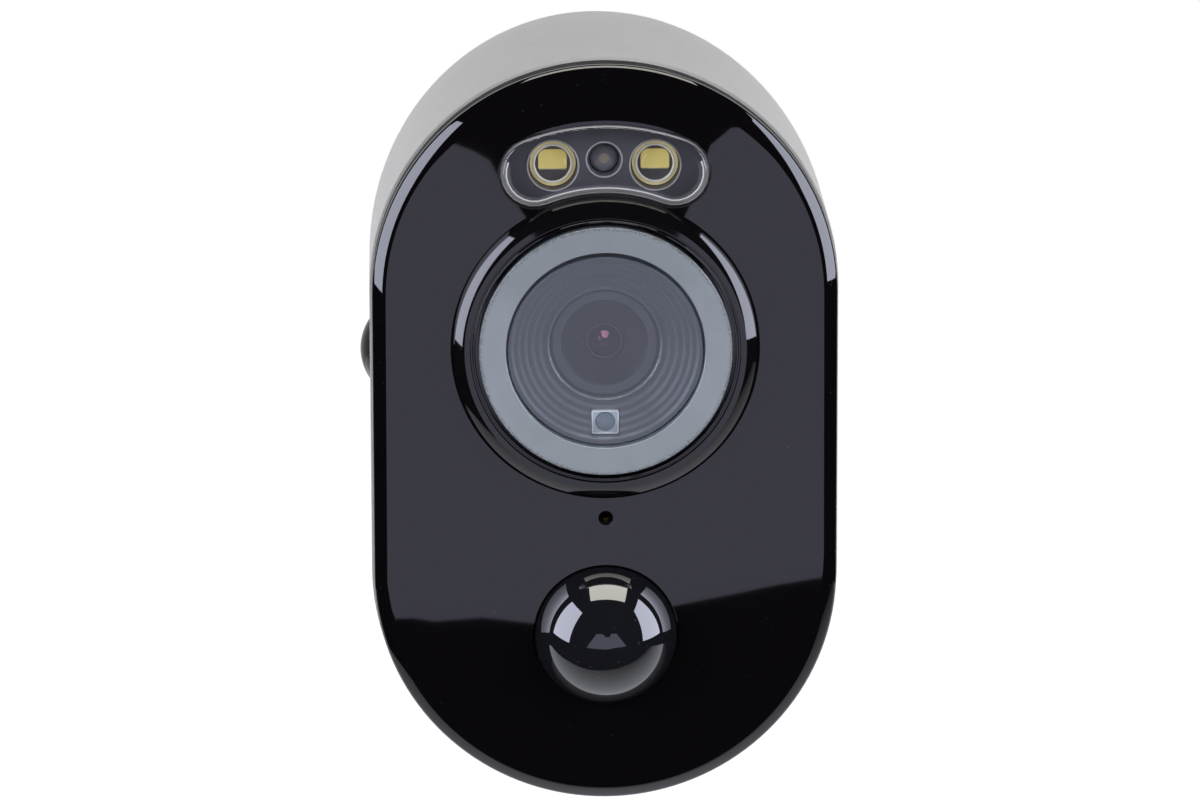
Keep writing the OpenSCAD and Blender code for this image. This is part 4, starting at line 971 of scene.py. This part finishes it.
def housing_seal():
    """Dark gasket in the joint between cover and housing."""
    r = radius("housing_seal")
    profile = [(r - 1.6, COVER_D), (r, COVER_D), (r + 0.1, (COVER_D + HOUSING_D) / 2), (r, HOUSING_D),
               (r - 1.6, HOUSING_D)]
    piece = solid("seal_bead", loft([stadium(out, d) for out, d in profile], loop=True), FACE)
    dress(piece, SEAL_BLACK, "housing_seal")


def port_flap():
    """Soft flap over the ports, hinged at its top edge, with a plug rib inside."""
    w = FLAP_X - PIN_LEN
    z0 = flap_low.z
    z1 = flap_high.z - FLAP_T
    d0 = HINGE_D - FLAP_T
    d1 = HINGE_D + FLAP_T
    h = (z1 - z0) / 2
    plate = boxes(w, h, [(0.25, 0.8, d0), (0, 0.8, d0 + 0.2), (0, 0.8, d1 - 0.3), (0.1, 0.8, d1 - 0.1),
                         (0.35, 0.8, d1)])
    plate = solid("flap_plate", moved(plate, 0, 0, (z0 + z1) / 2), FACE)
    barrel = along_x_rod(FLAP_T, 0.15 - w, w - 0.15, HINGE_D, z1)
    pins = along_x_rod(0.45, -FLAP_X, FLAP_X, HINGE_D, z1, 24)
    rib_x = BAY_X - 1.3
    rib_low = BAY_Z - BAY_H + 1.3
    rib_high = BAY_Z + BAY_H - 2.2
    rib_h = (rib_high - rib_low) / 2
    rib_z = (rib_low + rib_high) / 2
    rib = boxes(rib_x, rib_h, [(0.15, 0.8, d0 - 1), (0, 0.9, d0 - 0.8), (0, 0.9, HINGE_D)])
    combine(plate, [tool(form, FACE) for form in (barrel, pins, moved(rib, 0, 0, rib_z))], "UNION")
    hollow = boxes(rib_x, rib_h, [(1, 0.5, d0 - 2), (1, 0.5, d0)])
    cuts = [moved(hollow, 0, 0, rib_z)]
    cuts += [along_x_rod(0.35, -2.2, 2.2, d1 + 0.08, z0 + rise, 20) for rise in (1.1, 2.1)]
    combine(plate, [tool(form, FACE) for form in cuts])
    dress(plate, FLAP_RUBBER, "port_flap", body="flap")


# ---- Wall bracket ----
ARM_NECK_Y = -7.3
SLOT_BACK = PIVOT.y + 8.6
EAR_X = 11.0
EAR_R = 8.2
BOLT_BORE_R = 2.56
HEX_R = 4.6188
LOCK_BORE_R = 3.24
THREAD_R = 3.175
PLATE_BORE_R = 5.06
PLATE_RECESS_R = 8
PLATE_RECESS_D = 3.2
SCREW_CIRCLE_R = 19
KNURL_SIDES = 180


def knurled(outline, grooves, groove_r, center, low, high):
    """Turned form whose outer wall has round grooves between two depths."""
    pitch = 2 * math.pi / grooves
    rings = []
    for r, d in outline:
        fade = 0.0
        if low < d < high:
            fade = min(1, (d - low) / 0.8, (high - d) / 0.8)
        ring = []
        for k in range(KNURL_SIDES):
            a = 2 * math.pi * k / KNURL_SIDES
            near = (a + pitch / 2) % pitch - pitch / 2
            cut = r
            across = center * math.sin(near)
            if abs(across) < groove_r:
                cut = center * math.cos(near) - math.sqrt(groove_r ** 2 - across ** 2)
            here = r - fade * max(0, r - cut) if r > center - groove_r else r
            ring.append((here * math.sin(a), d, here * math.cos(a)))
        rings.append(ring)
    return loft(rings)


def wall_plate():
    """Round plate with a domed edge and three countersunk screw holes."""
    low, high = corners("wall_plate")
    t = -low.y
    r = high.x
    edge = [(r - 2.6 + 2.6 * math.cos(a), -t * 0.45 - t * 0.5 * math.sin(a))
            for a in [math.pi / 2 * k / 10 for k in range(11)]]
    outline = [(PLATE_BORE_R, 0), (r - 0.4, 0), (r, -0.4)] + edge + [(13.2, -t), (PLATE_BORE_R, -t)]
    piece = solid("plate_disc", lathe(outline, 144))
    hole = turned([(0, -t - 1), (4.5, -t - 1), (4.2, -t + 0.1), (4.2, -t * 0.62), (2.1, -t * 0.25),
                   (2.1, 1), (0, 1)], 48)
    cutters = [tool(rod(PLATE_RECESS_R, -PLATE_RECESS_D, 1))]
    for turn in (90, 210, 330):
        a = math.radians(turn)
        cutters.append(tool(moved(hole, SCREW_CIRCLE_R * math.cos(a), 0, SCREW_CIRCLE_R * math.sin(a))))
    combine(piece, cutters)
    dress(piece, ARM_WHITE, "wall_plate", body="wall_mount")


def swivel_arm():
    """Fork on a round neck that turns in the wall plate."""
    high = corners("swivel_arm")[1]
    neck_r = 5
    collar_r = 12
    stem_r = 7.5
    collar = ARM_NECK_Y - 3.2
    neck = turned(rounded([(0, high.y), (neck_r, high.y, 0.3), (neck_r, ARM_NECK_Y, 0.1),
                           (collar_r, ARM_NECK_Y, 0.3), (collar_r, collar, 0.8), (9.3, collar, 1.2),
                           (stem_r, ARM_NECK_Y - 5.2, 1.4), (stem_r, SLOT_BACK - 1), (0, SLOT_BACK - 1)],
                          False, 5))
    arm = solid("arm_fork", neck)
    back = SLOT_BACK + 6
    shoulder = SLOT_BACK + 2.2
    back_h = 7.4
    side = rounded([(back, -back_h, 2.4), (back, back_h, 2.4), (shoulder, EAR_R, 1.5), (PIVOT.y, EAR_R)],
                   False, 5)
    outline = side[1:-1] + arc(PIVOT.y, 0, EAR_R, 90, 270, 28) + [(shoulder, -EAR_R), (back, -back_h)]
    mid = sum(y for y, z in outline) / len(outline)
    rings = []
    for x, inset in ((-EAR_X, 0.7), (-EAR_X + 0.25, 0.25), (-EAR_X + 0.8, 0), (EAR_X - 0.8, 0),
                     (EAR_X - 0.25, 0.25), (EAR_X, 0.7)):
        rings.append([(x, mid + (y - mid) * (1 - inset / 11), z * (1 - inset / EAR_R)) for y, z in outline])
    combine(arm, [tool(loft(rings))], "UNION")
    slot_half = 5
    slot = box_form((-slot_half, PIVOT.y - 12, -12), (slot_half, SLOT_BACK, 12), 0.8)
    bore = along_x_rod(BOLT_BORE_R, -14, 14, PIVOT.y, PIVOT.z)
    pocket_r = 4.74
    pocket = loft([hexagon(x, pocket_r, PIVOT.y, PIVOT.z) for x in (EAR_X - 3, EAR_X + 2)])
    screw = rod(1.5, high.y - 12, 1, 24)
    combine(arm, [tool(form) for form in (slot, bore, pocket, screw)])
    dress(arm, ARM_WHITE, "swivel_arm", body="arm")


def hexagon(x, r, y=0, z=0):
    """Ring of points round a hexagon across the x axis."""
    return [(x, y + r * math.cos(k * math.pi / 3), z + r * math.sin(k * math.pi / 3)) for k in range(6)]


def clamp_bolt():
    """Hexagon bolt with a chamfered head, let into the fork."""
    low, high = corners("clamp_bolt", PIVOT)
    end = high.x
    shank_r = 2.5
    head = solid("bolt_head", loft([hexagon(end - 3, HEX_R), hexagon(end, HEX_R)]), PIVOT)
    crown = turned([(0, -4), (HEX_R + 1, -4), (HEX_R + 1, end - 0.9), (HEX_R - 0.6, end), (0, end)], 64)
    dimple = turned([(0, end - 0.4), (2.2, end - 0.4), (2.6, end + 0.2), (0, end + 0.2)], 48)
    shank = turned(rounded([(0, low.x), (shank_r, low.x, 0.4), (shank_r, end - 2.9), (0, end - 2.9)], False),
                   48)
    for form, how in ((crown, "INTERSECT"), (dimple, "DIFFERENCE"), (shank, "UNION")):
        combine(head, [tool(along_x(form), PIVOT)], how)
    dress(head, STEEL, "clamp_bolt", body="arm")


def clamp_knob():
    """Round-ended knob with grip grooves on its side."""
    low, high = corners("clamp_knob", PIVOT)
    insert_low, insert_high = corners("knob_insert")
    bore_r = (insert_high.z - insert_low.z) / 2
    r = (high.z - low.z) / 2
    x0 = -high.x
    center = -low.x - r
    side = rounded([(bore_r, x0), (r, x0, 0.5), (r, center)], False, 5)
    wall = [(r, x) for x in spread(x0 + 0.8, center, 14)]
    cap = [(r * math.cos(a), center + r * math.sin(a)) for a in spread(0, math.pi / 2, 24)[1:]]
    form = knurled(side[:-1] + wall + cap, 10, 1.2, r + 0.6, x0 + 1.2, center - 1.2)
    piece = solid("knob_body", mirrored_x(along_x(form)), PIVOT)
    hole = rod(bore_r, x0 - 1, center - 0.1, 48)
    combine(piece, [tool(mirrored_x(along_x(hole)), PIVOT)])
    dress(piece, KNOB_BLACK, "clamp_knob", body="knob", smooth=40)


def mirrored_x(form):
    """Mirrors a form from right to left."""
    verts, faces = form
    return [(-x, y, z) for x, y, z in verts], faces


def lock_ring():
    """Grip ring on the mounting stud, with a rubber pad against the housing."""
    low, high = corners("lock_ring")
    r = 11.5
    front = high.y
    pad = low.y + 1
    first, last = pad + 0.5, front - 0.5
    outline = rounded([(LOCK_BORE_R, front), (r, front, 0.5), (r, pad, 0.5), (LOCK_BORE_R, pad)])
    points = []
    for point in outline:
        points.append(point)
        if abs(point[0] - r) < 1e-6 and abs(point[1] - last) < 1e-3:
            points += [(r, last - (last - first) * k / 8) for k in range(1, 8)]
    verts, faces = knurled(points, 12, 1.4, r + 0.7, pad - 1, front + 1)
    del faces[-2:]
    start = (len(points) - 1) * KNURL_SIDES
    for k in range(KNURL_SIDES):
        n = (k + 1) % KNURL_SIDES
        faces.append((start + k, start + n, n, k))
    piece = solid("lock_grip", (verts, faces))
    dress(piece, GRIP_BLACK, "lock_ring", body="lock_ring", smooth=40)
    pad_form = lathe(rounded([(LOCK_BORE_R, pad), (r - 0.8, pad), (r - 0.8, low.y, 0.35),
                              (LOCK_BORE_R, low.y, 0.2)]))
    dress(solid("lock_pad", pad_form), PAD_RUBBER, "lock_ring", body="lock_ring", stands=False)


def pivot_head():
    """Tilting head between the fork ears, with its round foot."""
    low, high = corners("pivot_head")
    r = high.y - PIVOT.y
    half = 4.5
    foot = low.y + 2.4
    foot_r = half + 2.6
    neck_r = half - 0.1
    disc = turned(rounded([(0, -half), (r, -half, 0.5), (r, half, 0.5), (0, half)], False))
    head = solid("head_tongue", along_x(disc), PIVOT)
    neck = turned(rounded([(0, low.y), (foot_r, low.y, 0.4), (foot_r, foot, 0.6), (neck_r, foot, 0.5),
                           (neck_r, PIVOT.y), (0, PIVOT.y)], False, 5), 72)
    combine(head, [tool(neck)], "UNION")
    cross = along_x_rod(BOLT_BORE_R, -8, 8, PIVOT.y, PIVOT.z)
    combine(head, [tool(cross), tool(rod(THREAD_R, low.y - 1, low.y + 4, 48))])
    dress(head, GRIP_BLACK, "pivot_head", body="tilt_head")


# ---- Ports ----


def seen(node):
    """Middle and half sizes of a node seen along the depth: x, z, half width, half height."""
    low, high = corners(node, FACE)
    return (low.x + high.x) / 2, (low.z + high.z) / 2, (high.x - low.x) / 2, (high.z - low.z) / 2


def port_panel():
    """Dark lining of the port bay with its openings."""
    d0 = panel_low.y
    d1 = panel_high.y
    profile = [(0, 0.6, d0), (0, 0.6, d1 - 0.15), (0.15, 0.5, d1), (0.75, 0.5, d1), (0.9, 0.5, d1 - 0.15),
               (0.9, 0.5, d0 + 1.15), (1.05, 0.5, d0 + 1)]
    piece = solid("panel_lining", moved(boxes(BAY_X, BAY_H, profile), 0, 0, BAY_Z), FACE)
    holes = []
    for node, gap, corner in (("usb_socket", 0.05, 1.6), ("memory_card", 0.1, 0.2)):
        x, z, w, h = seen(node)
        w += gap
        h += gap
        bend = min(corner, h * 0.98)
        hole = boxes(w, h, [(0, bend, d0 - 1), (0, bend, d0 + 0.8), (-0.4, min(corner, h) + 0.3, d0 + 1.2)])
        holes.append(moved(hole, x, 0, z))
    x, z, r = seen("reset_button")[:3]
    r += 0.06
    round_hole = turned([(0, d0 - 1), (r, d0 - 1), (r, d0 + 0.8), (r + 0.3, d0 + 1.1), (0, d0 + 1.1)], 32)
    holes.append(moved(round_hole, x, 0, z))
    low, high = corners("switch_slider", FACE)
    holes.append(box_form((low.x - 0.1, d0 - 1, low.z - 0.1), (high.x + 2.1, d0 + 2, high.z + 0.1), 0.2))
    combine(piece, [tool(form, FACE) for form in holes])
    dress(piece, PANEL_BLACK, "port_panel")


def usb_socket():
    """Metal socket with its tongue and contacts."""
    low, high = corners("usb_socket", FACE)
    cx, cz, w, h = seen("usb_socket")
    profile = [(0, h * 0.98, low.y), (0, h * 0.98, high.y - 0.1), (0.1, h * 0.9, high.y),
               (0.2, h * 0.85, high.y), (0.3, h * 0.8, high.y - 0.1), (0.3, h * 0.8, low.y + 1)]
    piece = solid("usb_shell", moved(boxes(w, h, profile), cx, 0, cz), FACE)
    dress(piece, STEEL, "usb_socket")
    tongue = box_form((cx - 3.35, low.y + 0.9, cz - 0.35), (cx + 3.35, high.y - 0.8, cz + 0.35))
    dress(solid("usb_tongue", tongue, FACE), PANEL_BLACK, "usb_socket", stands=False)
    bars = []
    contacts = 12
    pitch = 0.5
    for k in range(contacts):
        x = cx + (k - (contacts - 1) / 2) * pitch
        for side in (-1, 1):
            z = cz + side * 0.37
            bars.append(box_form((x - 0.12, low.y + 2, z - 0.04), (x + 0.12, high.y - 1.1, z + 0.04), 0.03))
    dress(solid("usb_contacts", joined(*bars), FACE), BRASS, "usb_socket", stands=False)


def memory_card():
    """Small card with a grip ridge at its outer end."""
    low, high = corners("memory_card", FACE)
    body = solid("card_body", box_form(low, high, 0.2), FACE)
    ridge = box_form((low.x + 1.2, high.y - 0.9, high.z - 0.25), (high.x - 1.2, high.y - 0.5, high.z + 0.25),
                     0.1)
    combine(body, [tool(ridge, FACE)])
    dress(body, PANEL_BLACK, "memory_card", body="card")


def switch_slider():
    """Slider of the power switch with three ribs."""
    low, high = corners("switch_slider", FACE)
    body = solid("slider_body", box_form(low, high), FACE)
    cuts = []
    pitch = 0.4
    for k in range(3):
        x = low.x + pitch + k * pitch
        cut = box_form((x - 0.08, high.y - 0.2, low.z - 1), (x + 0.08, high.y + 1, high.z + 1), 0.03)
        cuts.append(tool(cut, FACE))
    combine(body, cuts)
    dress(body, NYLON, "switch_slider", body="switch")


def reset_button():
    """Round button with a dished end."""
    low, high = corners("reset_button", FACE)
    x, z, r = seen("reset_button")[:3]
    dish = [(r * 0.7 * (1 - k / 6), high.y - 0.12 * (1 - (1 - k / 6) ** 2)) for k in range(7)]
    outline = rounded([(0, low.y), (r, low.y), (r, high.y, 0.2), (r * 0.75, high.y)], False) + dish
    piece = solid("reset_cap", moved(turned(outline, 40), x, 0, z), FACE)
    dress(piece, moulded("reset_red", "b8452c", 0.45, 0.06, 0.2, 0.005), "reset_button", body="reset")


def plain_nodes():
    """Finishes of the nodes whose CAD shape is shown as it is."""
    groups = [
        (BOARD_GREEN, "sensor_board ir_board spotlight_board motion_board main_board port_board"),
        (BARREL_DARK, "lens_holder pir_retainer"),
        (SEAL_BLACK, "mic_boot"),
        (PANEL_BLACK, "inner_chassis battery_cradle power_switch reset_switch speaker"),
        (STEEL, "chassis_screws board_screws heat_spreader card_slot pir_sensor tripod_stud swivel_screw"),
        (BRASS, "microphone wifi_antenna ir_cut_actuator knob_insert thread_insert"),
        (NYLON, "tilt_washers flat_cables"),
        (PAD_RUBBER, "swivel_pad"),
        (moulded("sensor_face", "2c3540", 0.12, 0.03, 0.3, 0.001), "image_sensor"),
        (moulded("filter_glass", "7f9aa2", 0.1, 0.03, 0.3, 0.001), "ir_cut_filter"),
        (moulded("cell_wrap", "2b62a3", 0.3, 0.06, 0.4, 0.003), "battery_cells"),
        (moulded("lead_red", "a01f1f", 0.45, 0.06, 0.3, 0.005), "battery_leads"),
    ]
    for material, names in groups:
        for name in names.split():
            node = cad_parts[name]
            for place in node.material_slots:
                place.material = material
            if not node.material_slots:
                node.data.materials.append(material)


for build in (front_cover, lens_bezel, glass_ring, cover_glass, lens_baffle, lens_barrel,
              front_lens, infrared_lamp, spotlight_window, spotlight_tray, spotlight_lamps,
              daylight_sensor, motion_dome, rear_housing, housing_seal, port_flap, wall_plate,
              swivel_arm, clamp_bolt, clamp_knob, lock_ring, pivot_head, port_panel, usb_socket,
              memory_card, switch_slider, reset_button, plain_nodes):
    build()

# ---- Camera ----
ELEVATION = 13.22
YAW = 1.61
ROLL = -0.14
DISTANCE = 888.5
FOCAL_LENGTH = 221.5
TARGET = FACE + Vector((-0.66, 0, 4.09))


def direction(azimuth, elevation):
    """Unit vector from the face, azimuth to the right of straight ahead, in degrees."""
    a = math.radians(azimuth)
    e = math.radians(elevation)
    return Vector((math.sin(a) * math.cos(e), -math.cos(a) * math.cos(e), math.sin(e)))


def view_camera():
    """Long lens a little above the face, a touch from the left."""
    toward = direction(-YAW, ELEVATION)
    data = bpy.data.cameras.new("view_camera")
    data.lens = FOCAL_LENGTH
    data.clip_start = 0.01
    data.clip_end = 50
    camera = linked("view_camera", data)
    camera.location = (TARGET + toward * DISTANCE) * MM
    aim = (-toward).to_track_quat("-Z", "Y")
    camera.rotation_mode = "QUATERNION"
    camera.rotation_quaternion = aim @ Quaternion((0, 0, 1), math.radians(ROLL))
    bpy.context.scene.camera = camera


view_camera()

# ---- Stage ----
# Floor, white surroundings, and what the gloss mirrors. Places are in millimetres from the
# middle of the cover face: right, back and up.
FLOOR_DROP = 350
FLOOR_Z = -25 - FLOOR_DROP
FLOOR_R = 6000
ROOM_R = 2400
CARD_AHEAD = 170
LAMP_AWAY = 1.4
LAMP_SIZE = 0.8


def glow(name, color, strength):
    """Plain light-giving material."""
    finish = Finish(name)
    return finish.close(finish.node("Emission", Color=(*color, 1), Strength=strength))


def mirrored(name, points, faces, material):
    """Surface that shows in the gloss alone."""
    mesh = bpy.data.meshes.new(name)
    mesh.from_pydata([(FACE + Vector(point)) * MM for point in points], [], faces)
    mesh.materials.append(material)
    item = linked(name, mesh)
    item.visible_camera = False
    item.visible_diffuse = False
    item.visible_shadow = False
    item.visible_transmission = False


def mirrored_sheet(name, points, material):
    """Flat sheet that shows in the gloss alone."""
    mirrored(name, points, [tuple(range(len(points)))], material)


def soft_boxes():
    """Soft boxes to the left, to the right and above."""
    cool = glow("box_cool", (0.80, 0.83, 1.0), 8.8)
    warm = glow("box_warm", (1.0, 0.97, 0.88), 8.0)
    mirrored_sheet("box_left", [(-853, -500, -175), (-1038, -1, -59), (-856, -126, 776), (-671, -626, 660)],
                   cool)
    mirrored_sheet("box_right", [(846, -519, -147), (787, 27, -73), (931, -124, 920), (990, -669, 846)],
                   cool)
    mirrored_sheet("box_top", [(-435, -477, 975), (565, -500, 975), (504, 153, 975), (-362, 23, 975)], warm)


def front_card():
    """Grey card between the lens and the face, with a notch in its top for the lens."""
    top = [(-47, 4), (-18, 3), (-14, 1.5), (-11.5, 0), (-10, -3), (-6, -9), (-5, -11), (15, -11), (17, -7),
           (20, 2), (23, 4.5), (47, 5)]
    foot = [(100, -62), (36, -62), (30, -63), (20, -65), (10, -67), (-5, -68.5), (-13, -67.5), (-20, -68),
            (-23, -67.5), (-100, -68)]
    mirrored_sheet("card_front", [(x, -CARD_AHEAD, z) for x, z in top + foot],
                   glow("card_grey", (0.78, 0.78, 1.0), 1.28))


def pale_table():
    """Pale table top as the gloss shows it, ending just in front of the camera; a painted shadow dims its
    near part.
    """
    edge = [(-3.2, 0.3), (-1.3, -0.57), (0, -0.86), (0.6, -0.92), (3.4, -1.03), (3.4, 2.5), (-3.2, 2.5)]
    finish = Finish("table_pale")
    parts = finish.node("SeparateXYZ", {"Vector": finish.place})
    # Strength rises from the near edge to the back: a painted shadow of the camera on the near part of the
    # table.
    back = finish.ramp(parts.outputs["Y"], (FACE.y - 330) * MM, (FACE.y + 90) * MM, 0.32, 1.85)
    light = finish.node("Emission", {"Strength": back}, Color=(0.90, 0.92, 1.0, 1))
    mirrored_sheet("table_top", [(x * FLOOR_DROP, y * FLOOR_DROP, FLOOR_Z) for x, y in edge],
                   finish.close(light))


def dark_room():
    """Dark room in front of the object and over it, seen in its gloss alone."""
    reaches = [90, 90, 90, 90, 90, 120, 180, 180, 180]
    points = []
    for k, reach in enumerate(reaches):
        for i in range(17):
            way = direction(reach * (i / 8 - 1), -90 + k * 180 / 8)
            points.append(way * ROOM_R + Vector((0, 700, 0)))
    faces = []
    for k in range(8):
        for i in range(16):
            a = k * 17 + i
            faces.append((a, a + 1, a + 18, a + 17))
    mirrored("dark_room", points, faces, glow("dark_room", (0.5, 0.5, 0.55), 0.02))


def lamp(name, azimuth, elevation, color, power):
    """Soft lamp that lights the object and isn't mirrored in it."""
    way = direction(azimuth, elevation)
    data = bpy.data.lights.new(name, "AREA")
    data.shape = "SQUARE"
    data.size = LAMP_SIZE
    data.color = color
    data.energy = power
    item = linked(name, data)
    item.location = FACE * MM + way * LAMP_AWAY
    item.rotation_mode = "QUATERNION"
    item.rotation_quaternion = way.to_track_quat("Z", "Y")
    item.visible_glossy = False
    item.visible_camera = False


def surroundings():
    """White for the camera, glossy and clear rays; soft fill, weaker from above, for the rest."""
    world = bpy.data.worlds.new("surroundings")
    bpy.context.scene.world = world
    sky = Finish("surroundings", world)
    ray = sky.node("LightPath").outputs
    shown = sky.node("Math", {0: ray["Is Camera Ray"], 1: ray["Is Transmission Ray"]}, operation="MAXIMUM")
    both = sky.node("Math", {0: shown.outputs[0], 1: ray["Is Glossy Ray"]}, operation="MAXIMUM")
    white = sky.node("Background", Strength=1.0)
    parts = sky.node("SeparateXYZ", {"Vector": sky.generated})
    height = sky.ramp(parts.outputs["Z"], 0.1, 0.9, 0.46, 0.07)
    fill = sky.node("Background", {"Strength": height}, Color=(1.0, 0.99, 0.97, 1))
    sky.close(sky.node("MixShader", {0: both.outputs[0], 1: fill.outputs[0], 2: white.outputs[0]}))


def floor():
    """Pale round floor that keeps the shadow."""
    finish = Finish("floor_white")
    ray = finish.node("LightPath")
    matt = finish.node("BsdfDiffuse", Color=(0.7, 0.7, 0.7, 1))
    shine = finish.node("Emission", {"Strength": ray.outputs["Is Camera Ray"]}, Color=(0.85, 0.85, 0.85, 1))
    both = finish.node("AddShader", {0: matt.outputs[0], 1: shine.outputs[0]})
    disc = [(x, z, FACE.z + FLOOR_Z) for x, d, z in circle(FLOOR_R, 0, 64)]
    item = solid("floor", (disc, [tuple(range(64))]))
    item.data.materials.append(finish.close(both))
    item.visible_glossy = False


surroundings()
floor()
dark_room()
soft_boxes()
front_card()
pale_table()
lamp("lamp_left", -54, 24, (0.97, 0.98, 1.0), 8.9)
lamp("lamp_right", 54, 24, (0.97, 0.98, 1.0), 9.5)
lamp("lamp_top", 10, 80, (1.0, 0.97, 0.92), 0.5)

bpy.context.scene.view_settings.view_transform = "Standard"
